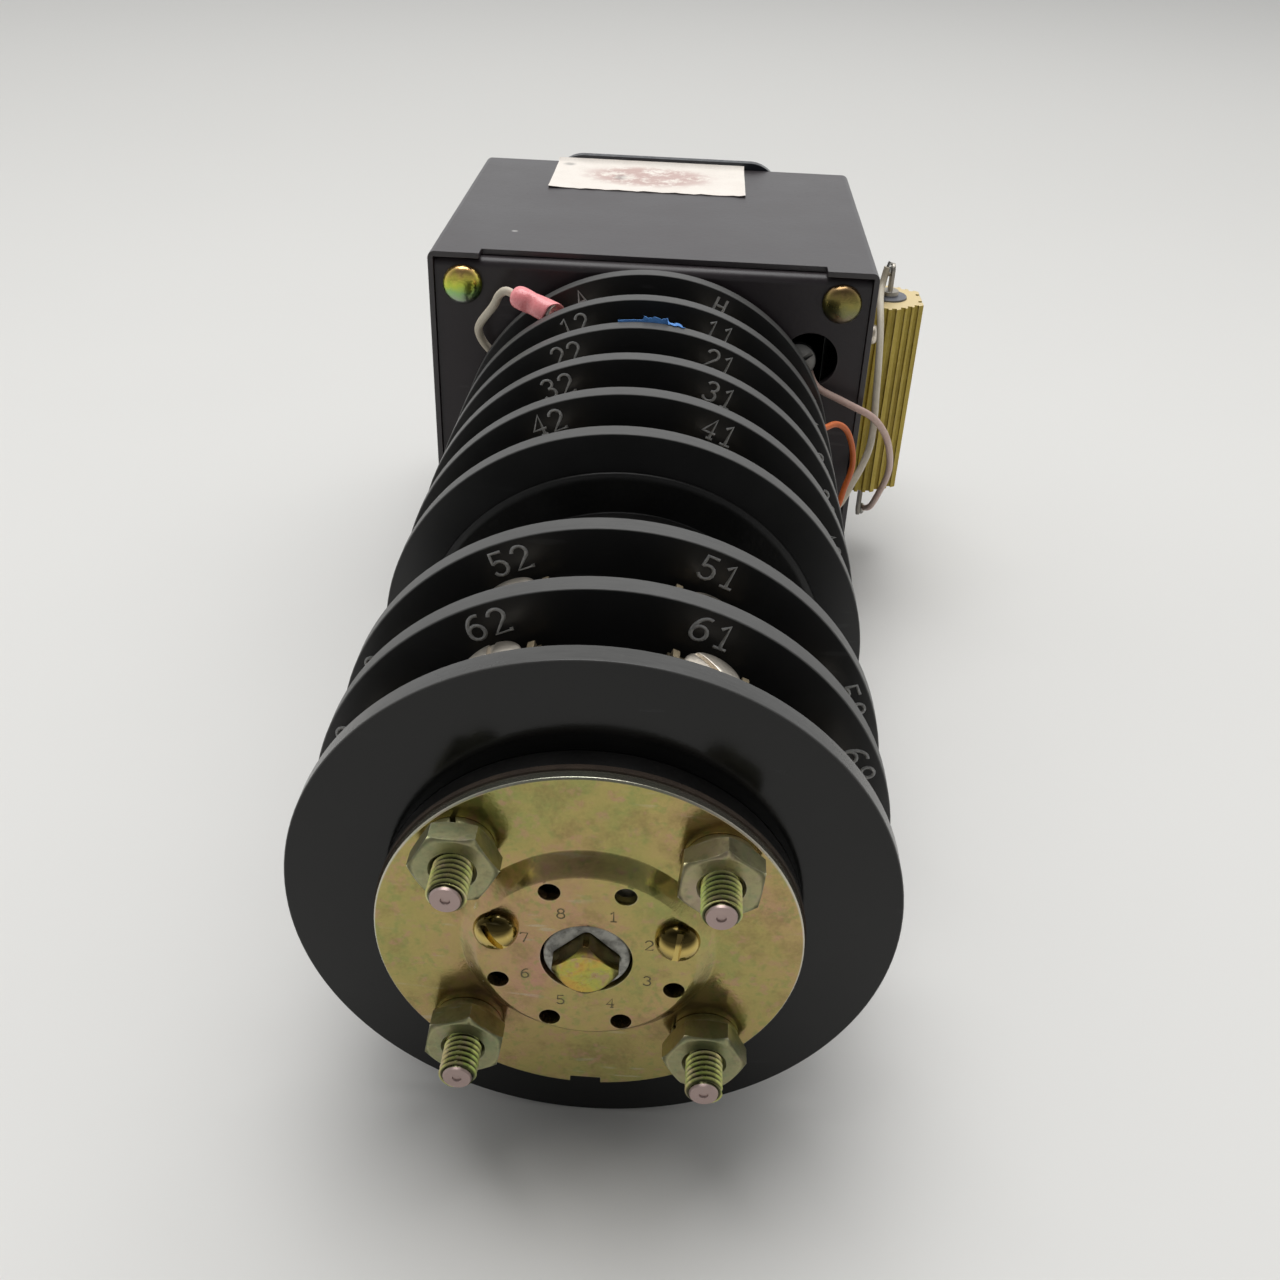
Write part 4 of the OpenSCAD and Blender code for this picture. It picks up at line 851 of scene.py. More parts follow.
made = begun("target_paint", (0.72, 0.13, 0.02), 0.42)
black_end = (0.0135, 0.0138)
made.mix(ramp(split(made.where)["X"], *black_end, smooth=False), (0.008, 0.008, 0.009))
target_paint = made.done()

# Painted shade: the stamped strokes are dark, as the groove of a stamp is.
stamp_painted_shade = dull("stamped_line", (0.15, 0.12, 0.05), 0.45, 900.0, (0.26, 0.22, 0.10))
print("materials:", paper.name, ceramic.name, target_paint.name, stamp_painted_shade.name)

# %% [markdown]
# ## Every CAD node gets its finish
# First all solids are given a material by name, those that keep their CAD shape included. The ones that
# show are then copied with broken edges, because a knife-sharp edge never catches the light.

# %% Finishes by node
finishes = (
    (front_enamel, "front_plate"), (rear_paint, "rear_panel"), (box_paint, "box_cover"),
    (zinc, "corner_posts latch_lever solenoid_frame"), (bolt_chromate, "box_bolts"),
    (plate_enamel, "nameplate"), (nickel, "small_screws handle_screw terminal_screws"),
    (brass, "shaft_bushings"), (shaft_chromate, "shaft"), (handle_black, "handle"),
    (target_paint, "target_flag"), (steel, "latch_cam plunger torsion_spring"), (coil_wrap, "solenoid_coil"),
    (black_phenolic, "front_spacer hub_spacer rear_housing"), (brown_phenolic, "deck_rotors"),
    (copper, "rotor_blades"), (gasket, "rear_gasket"), (cast_zinc, "stop_hub"), (plate_chromate, "end_plate"),
    (brass_painted_reflection, "stop_screws"), (stud_chromate, "tie_studs"),
    (nut_chromate, "stud_nuts lock_washers"), (gold_anodised, "resistor_body"), (ceramic, "resistor_core"),
    (white_wire, "white_leads"), (pink_wire, "pink_lead"), (orange_wire, "orange_lead"),
    (sleeve_pink, "crimp_sleeve"),
)
finish_of = {name: finish for finish, names in finishes for name in names.split()}
for k in range(1, 10):
    finish_of[f"barrier_disc_{k}"] = disc_nine_darkened if k == 9 else inner_discs_lightened
for k in range(1, 8):
    finish_of[f"stator_ring_{k}"] = black_phenolic
    finish_of[f"terminals_{k}"] = terminal_brass
for name, obj in cad.items():
    obj.data.materials.clear()
    obj.data.materials.append(finish_of[name])
print("finished nodes:", len(finish_of), "of", len(cad))

# %% Broken edges on what shows
edge_width = {
    "box_cover": 0.25, "rear_panel": 0.2, "nameplate": 0.35, "front_plate": 0.2, "end_plate": 0.2,
    "lock_washers": 0.12, "stop_hub": 0.35, "shaft": 0.3,
    "resistor_body": 0.12, "resistor_core": 0.12, "hub_spacer": 0.3, "rear_housing": 0.2, "box_bolts": 0.2,
    "terminal_screws": 0.15, "front_spacer": 0.3, "handle": 0.3, "handle_screw": 0.15, "small_screws": 0.12,
}
edge_width.update({f"barrier_disc_{k}": 0.22 for k in range(1, 10)})
edge_width.update({f"terminals_{k}": 0.12 for k in range(1, 8)})
faces = 0
for name, width in edge_width.items():
    soft = softened(name, width)
    turns = name in ("shaft", "stop_hub", "handle", "handle_screw")
    give(soft, name + "_soft", finish_of[name], "shaft" if turns else "housing")
    faces += len(soft.data.polygons)
print("softened", len(edge_width), "nodes with", faces, "faces")

# %% [markdown]
# ## Rolled threads on the tie studs
# Four studs clamp the whole stack, and their ends stand out of the nuts with the thread showing. A
# thread is one small zigzag carried round and up the axis, which is what the Screw modifier does. The
# strip is made a little too long, then cut square at both ends by two planes, as on a lathe.


# %% One stud
def standing_sheet(size, place):
    """A square sheet in the plane of X and Z, its size and its middle in mm."""
    nothing_selected()
    bpy.ops.mesh.primitive_plane_add(size=size * MM, location=tuple(v * MM for v in place))
    sheet = bpy.context.object
    bpy.ops.object.mode_set(mode="EDIT")
    bpy.ops.transform.rotate(value=math.pi / 2, orient_axis="X", center_override=sheet.location)
    leave_edit()
    bpy.ops.object.transform_apply()
    return sheet


pitch, groove_radius, thread_height, first_turn = 0.794, 1.95, 0.465, 224.3
thread = standing_sheet(pitch, (groove_radius + pitch / 2, 0, first_turn))
choose(thread, lambda place: place.x > groove_radius + pitch / 2)
bpy.ops.mesh.delete(type="VERT")
bpy.ops.mesh.select_all(action="SELECT")
bpy.ops.mesh.subdivide(number_cuts=1)
choose(thread, lambda place: abs(place.z - first_turn) < 0.1)
bpy.ops.transform.translate(value=(thread_height * MM, 0, 0))
leave_edit()
turns = thread.modifiers.new("turns", "SCREW")
turns.axis = "Z"
turns.screw_offset = pitch * MM
turns.iterations = 17
turns.steps = turns.render_steps = 32
apply_all(thread)
edit_all()
bpy.ops.mesh.remove_doubles(threshold=0.00001)
for level, way in ((225.2, -1), (237.42, 1)):
    bpy.ops.mesh.select_all(action="SELECT")
    bpy.ops.mesh.bisect(plane_co=(0, 0, level * MM), plane_no=(0, 0, way), use_fill=True, clear_outer=True)
bpy.ops.mesh.select_all(action="SELECT")
bpy.ops.mesh.normals_make_consistent(inside=False)
leave_edit()
smoothed(thread, 35)
print("thread faces:", len(thread.data.polygons))

# %% Four studs
stations = [
    (73.8, 1.7), (74.5, 2.415), (225.5, 2.415), (226, 2.0), (237.3, 2.0), (237.9, 1.75), (237.9, 0.6),
    (237.7, 0.5), (237.75, 0.05),
]
stud = join([turned_bar("tie_studs_threaded", stations), thread])
lay_down = spin(-90, "X")
copies = []
for x, z, turn in ((1, 1, 20), (-1, 1, 115), (1, -1, 205), (-1, -1, 310)):
    place = shift(x * stud_from_axis, 0, z * stud_from_axis)
    copies.append(own_copy(stud, place @ lay_down @ spin(turn, "Z")))
bpy.data.objects.remove(stud)
studs = join(copies)
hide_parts("tie_studs")
give(studs, "tie_studs_threaded", stud_chromate)
print("studs:", len(studs.data.polygons), "faces")

# %% [markdown]
# ## Nuts
# A turned nut is a slice of hexagon bar whose corners are cut back by a cone on both faces, which
# leaves the well-known arcs on its flats. That is one Boolean intersection of a hexagon and a turned
# blank, and a second Boolean opens the bore with its countersinks. Eight nuts sit as the fitter left them.

# %% One nut, eight places
nothing_selected()
corner_radius, height = 5.499 * MM, 3.3 * MM
middle = (0, 0, height / 2)
bpy.ops.mesh.primitive_cylinder_add(vertices=6, radius=corner_radius, depth=height, location=middle)
nut = bpy.context.object
bpy.ops.object.transform_apply()
carve(nut, turned_bar("blank", [(-0.02, 4.42), (0.62, 5.7), (2.68, 5.7), (3.32, 4.42)], 72), "INTERSECT")
carve(nut, turned_bar("bore", [(-0.1, 3.0), (0.42, 2.5), (2.88, 2.5), (3.4, 3.0)], 48))
crisp(nut, 0.10, 48)
rear_level, inner_level = 229.84, 74.98
copies = []
for x, z, turn, inner in ((-1, -1, 0, 30), (-1, 1, 25, 20), (1, -1, 20, 3), (1, 1, 0, 0)):
    for level, angle in ((rear_level, turn), (inner_level, inner)):
        place = shift(x * stud_from_axis, level, z * stud_from_axis)
        copies.append(own_copy(nut, place @ spin(angle - 30, "Y") @ lay_down))
bpy.data.objects.remove(nut)
nuts = join(copies)
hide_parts("stud_nuts")
give(nuts, "stud_nuts_turned", nut_chromate)
print("nuts:", len(nuts.data.polygons), "faces")

# %% [markdown]
# ## Stop screws
# Two round-head screws in the stop holes limit the handle's swing. A round head is a quarter ellipse
# turned about its axis, with a slot sawn by a thin plate.

# %% Round heads
upright = facing((-1, 0, 0), (0, 0, 1), (0, 1, 0))
profile = [(-8.0, 1.25), (0.0, 1.25), (0.0, 2.72), (0.22, 2.8)]
for i in range(1, 11):
    a = i * math.pi / 20
    profile.append((0.22 + 2.1 * math.sin(a), max(0.03, 2.8 * math.cos(a))))
heads = []
for x, slope in ((stop_from_axis, -54), (-stop_from_axis, 83)):
    head = slotted_head("stop_screw", profile, 48, (7, 0.8, 1.7), 0.05)
    heads.append(placed(head, shift(x, 231.02, 4.59) @ upright @ spin(slope, "Z")))
stops = join(heads)
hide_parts("stop_screws")
give(stops, "stop_screws_turned", brass_painted_reflection)
print("stop screws:", len(stops.data.polygons), "faces")

# %% [markdown]
# ## Numbers painted on the discs
# The disc behind each deck carries its terminals' numbers, two grey figures a station, so that an
# electrician reads deck and terminal at a glance. The figures are drawn as thin round strokes on a cell
# 0.6 wide and 1 high, like a stencil alphabet, then pressed flat on the disc.


# %% Stroke alphabet
def bow(x, y, rx, ry, start, stop, steps=10):
    """Points on an elliptic arc, angles in degrees."""
    angles = [math.radians(start + (stop - start) * i / steps) for i in range(steps + 1)]
    return [(x + rx * math.cos(a), y + ry * math.sin(a)) for a in angles]


strokes = {
    "1": [[(0.10, 0.78), (0.32, 1), (0.32, 0)], [(0.10, 0), (0.54, 0)]],
    "2": [bow(0.3, 0.72, 0.26, 0.28, 170, -35) + [(0.04, 0), (0.58, 0), (0.58, 0.1)]],
    "3": [bow(0.28, 0.76, 0.24, 0.24, 160, -90), bow(0.28, 0.27, 0.28, 0.27, 90, -160)],
    "4": [[(0.42, 0), (0.42, 1), (0.02, 0.30), (0.58, 0.30)], [(0.28, 0), (0.56, 0)]],
    "5": [[(0.52, 1), (0.10, 1), (0.08, 0.56)] + bow(0.28, 0.31, 0.27, 0.31, 130, -155)],
    "6": [bow(0.44, 0.34, 0.40, 0.64, 75, 180), bow(0.30, 0.30, 0.26, 0.30, 180, -180, 16)],
    "7": [[(0.04, 0.86), (0.04, 1), (0.57, 1), (0.24, 0)]],
    "8": [bow(0.3, 0.76, 0.22, 0.24, -90, 270, 14), bow(0.3, 0.27, 0.27, 0.27, 90, -270, 14)],
    "A": [[(0.02, 0), (0.30, 1), (0.58, 0)], [(0.12, 0.34), (0.48, 0.34)]],
    "B": [[(0.08, 0), (0.08, 1), (0.32, 1)] + bow(0.32, 0.76, 0.20, 0.24, 90, -90, 8) + [(0.08, 0.52)],
          bow(0.32, 0.26, 0.25, 0.26, 90, -90, 8) + [(0.08, 0)]],
    "C": [bow(0.32, 0.5, 0.28, 0.5, 50, 310, 14)],
    "D": [[(0.08, 0), (0.08, 1)] + bow(0.22, 0.5, 0.34, 0.5, 90, -90, 10) + [(0.08, 0)]],
    "E": [[(0.56, 1), (0.08, 1), (0.08, 0), (0.56, 0)], [(0.08, 0.52), (0.46, 0.52)]],
    "F": [[(0.56, 1), (0.08, 1), (0.08, 0)], [(0.08, 0.52), (0.46, 0.52)]],
    "G": [bow(0.32, 0.5, 0.28, 0.5, 50, 330, 14) + [(0.58, 0.46), (0.34, 0.46)]],
    "H": [[(0.06, 0), (0.06, 1)], [(0.56, 0), (0.56, 1)], [(0.06, 0.52), (0.56, 0.52)]],
}


def round_wire(name, lines, radius, resolution):
    """Lines of points, given a round section and turned into a mesh."""
    data = bpy.data.curves.new(name, "CURVE")
    data.dimensions = "3D"
    data.bevel_depth = radius
    data.bevel_resolution = resolution
    data.use_fill_caps = True
    for line in lines:
        spline = data.splines.new("POLY")
        spline.points.add(len(line) - 1)
        for point, place in zip(spline.points, line):
            point.co = (*place, 1)
    obj = new_object(name, data)
    pick(obj)
    bpy.ops.object.convert(target="MESH")
    return obj


def glyph(figure, weight):
    """A figure as a mesh of flattened round strokes, 1 high, its middle at the origin."""
    lines = [[(x - 0.3, y - 0.5, 0) for x, y in stroke] for stroke in strokes[figure]]
    obj = round_wire("figure_" + figure, lines, weight, 0)
    edit_all()
    bpy.ops.transform.resize(value=(1, 1, 0.25), center_override=(0, 0, 0))
    leave_edit()
    return obj


painted = {figure: glyph(figure, 0.070) for figure in strokes}
print("figures:", len(painted))


# %% Labels on the discs
def lettering(name, marks, material):
    """Joins figures, each (glyph, matrix), into one piece of paint."""
    piece = join([own_copy(shape, matrix) for shape, matrix in marks])
    for polygon in piece.data.polygons:
        polygon.use_smooth = True
    return give(piece, name, material)


def on_disc(angle, offset, level):
    """Matrix of a painted figure on a face that looks along Y, its foot towards the shaft."""
    radius, height = 36.7, 3.5
    a = math.radians(angle)
    right, up = Vector((-math.cos(a), 0, math.sin(a))), Vector((math.sin(a), 0, math.cos(a)))
    size = Matrix.Diagonal((1.12 * height * MM, height * MM, height * MM, 1))
    place = shift(*(up * radius + right * offset + Vector((0, level, 0))))
    return place @ facing(right, up, (0, 1, 0)) @ size


stations = {1: -22.5, 2: 22.5, 3: 67.5, 4: 112.5, 5: 157.5, 6: -157.5, 7: -112.5, 8: -67.5}
letters = dict(zip("ABCDEFGH", (22.5, 67.5, 112.5, 157.5, -157.5, -112.5, -67.5, -22.5)))
marks = [(painted[letter], on_disc(angle, 0, 86.6)) for letter, angle in letters.items()]
lettering("deck_letters_1", marks, number_paint)
levels = {2: 101.9, 3: 117.2, 4: 132.5, 5: 147.8, 7: 192.8, 8: 208.1}
for deck, (disc, level) in enumerate(levels.items(), 1):
    marks = []
    slant = 1.4 if disc == 8 else 0
    for station, angle in stations.items():
        for figure, offset in ((deck, -1.6), (station, 1.6)):
            marks.append((painted[str(figure)], on_disc(angle + slant, offset, level)))
    lettering(f"deck_numbers_{disc}", marks, number_paint)
print("labels on seven discs")

# %% [markdown]
# ## Stamped figures round the boss
# Eight stop positions are numbered by a steel stamp, upright whatever their place on the circle. On so
# small a scale a stamped stroke is only a dark line, so the figures lie almost flush with the plate, and
# their dark colour is painted shade for the groove of the stamp.

# %% Stamped figures
plate_face, figure_circle = 231.005, 8.3
fine = {figure: glyph(figure, 0.062) for figure in "12345678"}
marks = []
for figure, angle in zip("12345678", (-67.5, -22.5, 22.5, 67.5, 112.5, 157.5, -157.5, -112.5)):
    a = math.radians(angle)
    place = shift(-figure_circle * math.cos(a), plate_face, -figure_circle * math.sin(a))
    marks.append((fine[figure], place @ upright @ Matrix.Diagonal((1.7 * MM, 1.6 * MM, 1.0 * MM, 1))))
lettering("stamped_figures", marks, stamp_painted_shade)
for shape in list(painted.values()) + list(fine.values()):
    bpy.data.objects.remove(shape)
print("stamped figures 1 to 8")

# %% [markdown]
# ## Paper label on the cover
# A torn and sun-bleached paper label lies on the cover's front edge. Its print is left off, so the paper
# carries only its stains. Paper is a sheet: a plane with enough cuts to curl, then a little thickness.

# %% Paper label
nothing_selected()
bpy.ops.mesh.primitive_plane_add(size=1.0, location=(0.0039, 0.0133, 0.0))
label = bpy.context.object
label.scale = (0.0474, 0.0266, 1.0)
bpy.ops.object.transform_apply()
edit_all()
bpy.ops.mesh.subdivide(number_cuts=30)
leave_edit()
paper_top, back_edge = 40.36, 26.7
for vertex in label.data.vertices:
    x, y = vertex.co.x / MM, vertex.co.y / MM
    curl = max(0.0, 1.6 - y) / 1.6
    lift = 0.85 * curl * curl + 0.05 * (1 + math.sin(x * 0.9 + y * 0.4)) * min(1.0, y / 6)
    corner = 0.0
    for end, reach in ((27.6, 5.0), (-19.8, 3.5)):
        corner += max(0.0, 1 - math.hypot(x - end, y - back_edge) / reach)
    ragged = 0.22 * math.sin(x * 2.3) + 0.15 * math.sin(x * 5.1 + 1.0)
    vertex.co.z = (paper_top + lift + 0.35 * corner * corner) * MM
    vertex.co.y += ragged * MM * max(0.0, (y - 22) / 5)
smoothed(thickened(label, 0.1, 1.0), 50)
give(label, "paper_label", paper)
print("label box:", [tuple(round(v / MM, 2) for v in c) for c in (label.bound_box[0], label.bound_box[6])])

# %% [markdown]
# ## Torn blue tape on the third disc
# A scrap of blue tape is left on the edge of the third disc. A short edge standing on the disc is spun
# round the shaft axis, its outer points are pulled to a ragged line, and part of it is folded over the
# rim.

# %% Blue tape
disc_face, tape_foot, tape_width = 113.93, 38.4, 2.2
tape = standing_sheet(tape_width, (0, disc_face, tape_foot + tape_width / 2))
choose(tape, lambda place: place.x > 0)
bpy.ops.mesh.delete(type="VERT")
bpy.ops.mesh.select_all(action="SELECT")
bpy.ops.transform.translate(value=(tape_width / 2 * MM, 0, 0))
bpy.ops.mesh.subdivide(number_cuts=3)
leave_edit()
placed(tape, spin(7.1, "Y"))
pick(tape)
edit_all()
bpy.ops.mesh.spin(steps=36, angle=math.radians(17.8), center=(0, 0, 0), axis=(0, 1, 0))
leave_edit()
angles = [math.degrees(math.atan2(v.co.x, v.co.z)) for v in tape.data.vertices]
print("tape angles:", round(min(angles), 2), round(max(angles), 2))

# %% Ragged edge and fold
for vertex in tape.data.vertices:
    angle = math.degrees(math.atan2(vertex.co.x, vertex.co.z))
    share = (math.hypot(vertex.co.x, vertex.co.z) / MM - tape_foot) / tape_width
    torn = 0.16 * math.sin(angle * 2.1 + 1) + 0.10 * math.sin(angle * 5.3 + 2)
    top = 40.02 if angle > 0.4 else 40.58 + torn
    top -= 0.35 * max(0.0, -9.2 - angle)
    radius = tape_foot + share * (top - tape_foot)
    y = disc_face - 0.12 * max(0.0, share - 0.5) * math.sin(angle * 2.7)
    if angle < -6.0 and share > 0.85:
        radius, y = 39.85, disc_face + 0.7 + 0.25 * math.sin(angle * 3)
    a = math.radians(angle)
    vertex.co = Vector((math.sin(a) * radius, y, math.cos(a) * radius)) * MM
smoothed(thickened(tape, 0.12, 0.0), 60)
give(tape, "blue_tape", tape_blue)
print("tape faces:", len(tape.data.polygons))

# %% [markdown]
# ## Insulated leads
# Four short leads join the box, the resistor and the first decks. Their routes are the centre lines of
# the CAD solids: a smooth curve through known points, given a round section. The jumper's wire is the
# thinnest. Each end is bare and tinned where it is soldered or clamped.


# %% Routes and tubes
def route(points):
    """A smooth line through points in mm, as metres."""
    steps = 5
    p = [Vector(q) * MM for q in points]
    p = [p[0]] + p + [p[-1]]
    line = []
    for i in range(1, len(p) - 2):
        a, b, c, d = p[i - 1 : i + 3]
        for j in range(steps):
            u = j / steps
            bend, twist = 2 * a - 5 * b + 4 * c - d, 3 * b - a - 3 * c + d
            line.append(0.5 * (2 * b + (c - a) * u + bend * u * u + twist * u**3))
    line.append(p[-2])
    for _ in range(4):
        line[1:-1] = [(a + 2 * b + c) / 4 for a, b, c in zip(line, line[1:], line[2:])]
    return line


def tube(name, line, radius):
    """A closed round tube along a line, its radius in mm."""
    obj = round_wire(name, [line], radius * MM, 6)
    for polygon in obj.data.polygons:
        polygon.use_smooth = True
    return smoothed(obj, 50)


runs = {
    "left": route([
        (31, 74, 15), (31, 78.9, 15.3), (32.1, 81.2, 17.4), (33.6, 81.8, 20), (35.1, 82.7, 22.3),
        (35.8, 84.3, 25.4), (34.6, 86, 28.2), (31.6, 89, 32.4), (30.4, 90.4, 35), (28.8, 91.4, 36.5),
        (27.1, 92.1, 36),
    ]),
    "top": route([
        (-52.55, 47.9, 32), (-51.9, 48.4, 28.5), (-51.4, 51, 26.9), (-50.8, 56, 26.4), (-50.5, 61, 25.2),
        (-50.4, 65, 22.7), (-50.2, 70, 18.2), (-49.9, 75, 12.3), (-49.8, 78.4, 7.2), (-49.3, 81.2, 2.4),
        (-47.4, 84, -1.9), (-45.5, 86, -4.9), (-43.4, 87.8, -8.9), (-39.6, 88.4, -11.8), (-35.4, 88.1, -13),
        (-31.5, 88, -13),
    ]),
    "pink": route([
        (-34.4, 74, 18.4), (-34.7, 78, 17.4), (-36.2, 81.2, 15.5), (-40.4, 82.6, 14), (-44.7, 84, 12.5),
        (-49, 82.6, 9.9), (-52.9, 78.5, 4), (-55.5, 72.5, -3.5), (-56.8, 66.5, -10.9), (-56.2, 60.5, -19.2),
        (-55.7, 55, -25.6), (-55.35, 48.6, -29.2),
    ]),
    "orange": route([
        (-32, 97.65, 13.2), (-34.8, 97.1, 12.9), (-37.4, 95, 12.4), (-39.4, 93, 12.6), (-41.7, 91.5, 11.3),
        (-43.4, 90.6, 8.5), (-44.6, 90.2, 4.2), (-44.6, 90.4, 0.6), (-43.5, 91.2, -2.9),
        (-42.7, 92.4, -6.2), (-40.8, 94.4, -9.4), (-37.8, 96.4, -11.8), (-34.8, 97.2, -12.9),
        (-32, 97.65, -13.2),
    ]),
}
whites = join([tube("white_leads_tube", runs["left"], 0.85), tube("top_lead", runs["top"], 0.78)])
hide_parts("white_leads")
give(whites, "white_leads_tube", white_wire)
pink = tube("pink_lead_tube", runs["pink"], 0.76)
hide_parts("pink_lead")
give(pink, "pink_lead_tube", pink_wire)
orange = tube("orange_lead_tube", runs["orange"], 0.64)
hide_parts("orange_lead")
give(orange, "orange_lead_tube", orange_wire)
for name, line in runs.items():
    print(name, "lead:", round(sum((b - a).length for a, b in zip(line, line[1:])) / MM, 1), "mm")

# %% [markdown]
# Where a lead ends at a lug or under a screw, its insulation is stripped and the strand is dipped in
# solder. A blob of solder is a small ball drawn out along the lead, which a soft uneven shape gives.


# %% Solder and bare ends
def blob(place, radii, seed):
    """A ball pulled out of round, as solder sets."""
    nothing_selected()
    bpy.ops.mesh.primitive_ico_sphere_add(subdivisions=3, radius=1.0, location=(0, 0, 0))
    ball = bpy.context.object
    edit_all()
    bpy.ops.transform.vertex_random(offset=0.05, seed=seed)
    bpy.ops.mesh.vertices_smooth(factor=0.5, repeat=2)
    bpy.ops.transform.resize(value=tuple(r * MM for r in radii), center_override=(0, 0, 0))
    leave_edit()
    bpy.ops.object.shade_smooth()
    return placed(ball, shift(*place))


def bare_wire(name, points, radius):
    """A stripped wire's end through points in mm."""
    return tube(name, [Vector(p) * MM for p in points], radius)


solder = join([
    blob((-53.15, 47.6, 31.2), (0.95, 1.1, 1.5), 3),
    blob((-54.75, 47.7, -29.9), (0.9, 1.1, 1.6), 5),
    bare_wire("bare_top", ((-52.6, 47.9, 31.6), (-52.9, 47.7, 32.6), (-53.1, 47.6, 33.1)), 0.45),
    bare_wire("bare_left", ((27.6, 92.0, 36.1), (26.2, 92.5, 35.7), (25.0, 93.0, 35.4)), 0.5),
])
give(solder, "soldered_ends", tinned)
print("soldered ends:", len(solder.data.polygons), "faces")

# %% [markdown]
# ## Crimped sleeve
# The left lead ends in a crimp terminal under the first deck's screw. Its barrel wears a red vinyl
# sleeve: drawn in round the lead at one end, pinched in the middle by the crimping tool, cut askew at
# the other. It is turned like a bar, squeezed in the middle, and its open end pulled out of square. The
# ring under the screw keeps the CAD solid's shape.

# %% Sleeve
away, near = (18.6, 95.4, 33.6), (26.8, 92.2, 35.9)
length = (Vector(near) - Vector(away)).length
profile = [
    (-0.5, 1.15), (-0.35, 1.5), (0.05, 1.95), (0.6, 2.22), (1.4, 2.32), (2.6, 2.30), (3.4, 2.12),
    (4.0, 2.02), (4.8, 2.10), (5.4, 2.26), (6.6, 2.32), (8.2, 2.34), (length, 2.34), (length + 0.02, 2.0),
    (7.9, 1.9), (7.8, 0.05),
]
sleeve = turned_bar("vinyl_sleeve", profile, 40)
choose(sleeve, lambda place: 3.0 < place.z < 5.0)
bpy.ops.transform.resize(value=(0.86, 1.10, 1), center_override=(0, 0, 4 * MM))
leave_edit()
open_end = 6.6
for vertex in sleeve.data.vertices:
    askew = max(0.0, vertex.co.z / MM - open_end) / (length - open_end)
    vertex.co.z += (0.55 * vertex.co.x + 0.12 * math.sin(vertex.co.y / MM * 3) * MM) * min(1.0, askew)
round_off = sleeve.modifiers.new("soft_vinyl", "SUBSURF")
round_off.levels = round_off.render_levels = 1
apply_all(sleeve)
bpy.ops.object.shade_smooth()
placed(sleeve, from_axis(near, away))
print("sleeve length", round(length, 2), "mm")

# %% Barrel and ring
profile = [(5.6, 1.1), (5.7, 1.7), (8.4, 1.7), (8.5, 1.6), (8.5, 1.35), (7.6, 1.3), (7.6, 0.05)]
barrel = placed(turned_bar("crimp_barrel", profile), from_axis(near, away))
ring = softened("crimp_sleeve", 0.10)
nearest = min((v.co - Vector(near) * MM).length for v in ring.data.vertices) / MM
choose(ring, lambda place: (place - Vector(near)).length < nearest + 0.01)
bpy.ops.mesh.select_linked()
bpy.ops.mesh.delete(type="VERT")
leave_edit()
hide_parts("crimp_sleeve")
give(sleeve, "vinyl_sleeve", sleeve_pink)
give(join([ring, barrel]), "crimp_ring", tinned)
print("ring faces:", len(ring.data.polygons))

# %% [markdown]
# ## Screw behind the right lead hole
# The right hole shows the edge of a screw head on a dark strap inside the box, where the pink lead
# is clamped. The head's steel is painted darker than the other steel, as painted shade inside the box.
# The low pan head is turned and slotted as the stop screws are, and the strap is a strip
# with rolled edges behind the panel.

# %% Hole screw and strap
profile = [
    (-3.2, 1.6), (0.0, 1.6), (0.0, 3.9), (0.7, 4.0), (1.3, 3.8), (1.75, 3.2), (2.0, 2.2), (2.08, 1.0),
    (2.1, 0.05),
]
head = slotted_head("lead_clamp_screw", profile, 40, (9, 0.9, 1.6), 0.06)
placed(head, shift(-31.6, 77.9, 20.4) @ lay_down @ spin(35, "Z"))
give(head, "lead_clamp_screw", screw_steel_darkened)

strap = block((10, 1, 6), (-29, 77.4, 20))
bend = strap.modifiers.new("edge", "BEVEL")
bend.width = 0.3 * MM
bend.segments = 2
apply_all(strap)
give(smoothed(strap, 40), "lead_clamp_strap", box_paint)
print("hole screw and strap in place")

# %% [markdown]
# ## Marks on the nameplate
# The nameplate keeps only what any such plate needs: a plain tick at each end of the handle's swing, at
# 45 degrees for tripped and upright for reset. They are thin wedges, a plane with one end drawn in.

# %% Position ticks
tick_width, tick_height, tick_radius, plate_front = 1.6, 5.0, 34.5, -2.4
ticks = []
for angle in (-45, 0):
    nothing_selected()
    bpy.ops.mesh.primitive_plane_add(size=1.0, location=(0, 0, 0))
    tick = bpy.context.object
    edit_all()
    bpy.ops.transform.resize(value=(tick_width * MM, tick_height * MM, 1), center_override=(0, 0, 0))
    choose(tick, lambda place: place.y < 0)
    bpy.ops.transform.resize(value=(0.25, 1, 1), center_override=(0, -tick_height / 2 * MM, 0))
    leave_edit()
    thickened(tick, 0.08, 0.0)
    a = math.radians(angle)
    right, up = Vector((math.cos(a), 0, -math.sin(a))), Vector((math.sin(a), 0, math.cos(a)))
    place = shift(*(up * tick_radius + Vector((0, plate_front, 0))))
    ticks.append(placed(tick, place @ facing(right, up, (0, -1, 0))))
give(join(ticks), "position_ticks", mark_paint)
print("ticks at the tripped and the reset place")

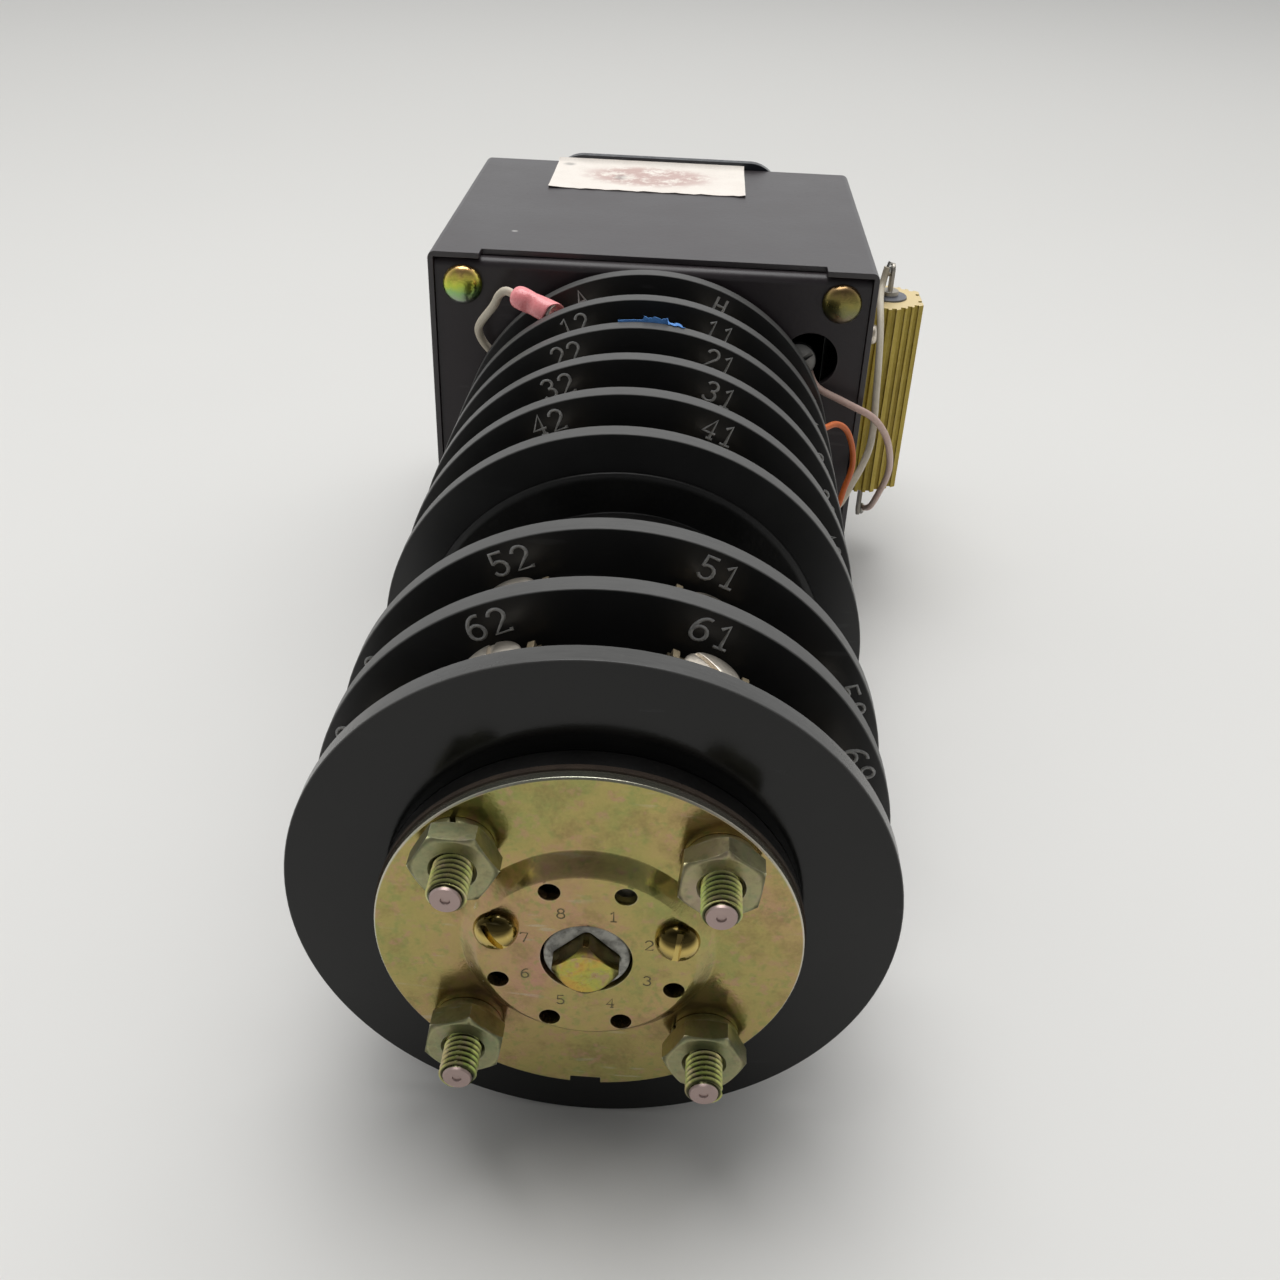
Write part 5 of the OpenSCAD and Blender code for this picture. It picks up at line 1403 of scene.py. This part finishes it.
# %% [markdown]
# ## Floor and light
# The switch lies on its nameplate's lower edge and on the rim of the last disc, so the floor tilts by
# less than a degree. The room is bright on the far side and above, dark behind the camera: that keeps
# the black discs black and still puts a sheen on the cover, which mirrors the far wall.

# %% Floor
nothing_selected()
bpy.ops.mesh.primitive_plane_add(size=6.0, location=(0, 0, 0))
floor = bpy.context.object
floor.name = "floor"
tilt = math.atan2(2.3, 224.2)
floor.rotation_euler = (tilt, 0, 0)
floor.location = (0, -1.2 * MM, -42.05 * MM)
pale = Finish("pale_floor", (0.755, 0.745, 0.72), 0.6)
pale.layer(cloudy, (0.69, 0.68, 0.66), 0.5, Scale=5.0, Contrast=0.8)
# Painted shade: the floor is darker towards the far side.
pale.mix(ramp(split(pale.where)["Y"], 0.25, -0.45), (0.64, 0.63, 0.605), 0.9)
floor.data.materials.append(pale.done())
print("floor tilt", round(math.degrees(tilt), 3))

# %% Room
scene = bpy.context.scene
scene.view_settings.view_transform = "Standard"
world = bpy.data.worlds.new("pale_room")
scene.world = world
world.use_nodes = True
air = world.node_tree
_, y, z = split(node(air, "ShaderNodeTexCoord").outputs["Generated"])
far, high = ramp(y, 0.55, -0.45), ramp(z, 0.15, 0.75)
side = less(0.34, times(high, 0.24))
level = plus(side, times(far, less(0.86, side)))
seen = node(air, "ShaderNodeLightPath").outputs["Is Camera Ray"]
level = times(level, less(1.0, times(seen, 0.16)))
grey = node(air, "ShaderNodeCombineColor")
for place, share in zip(grey.inputs, (0.985, 0.995, 1.0)):
    feed(place, times(level, share))
background = air.nodes["Background"].inputs
feed(background["Color"], grey.outputs[0])
feed(background["Strength"], 1.0)


def lamp(name, place, aim, size, power):
    """A square soft lamp at place that shines at aim."""
    data = bpy.data.lights.new(name, "AREA")
    data.shape = "RECTANGLE"
    data.size = data.size_y = size
    data.energy = power
    obj = new_object(name, data)
    obj.location = place
    obj.rotation_euler = (Vector(aim) - Vector(place)).to_track_quat("-Z", "Y").to_euler()


lamp("ceiling", (0.14, -0.06, 1.3), (0, 0.12, 0), 0.85, 10.0)
lamp("far_window", (-0.45, -0.6, 1.2), (0, 0.12, 0), 0.7, 2.6)
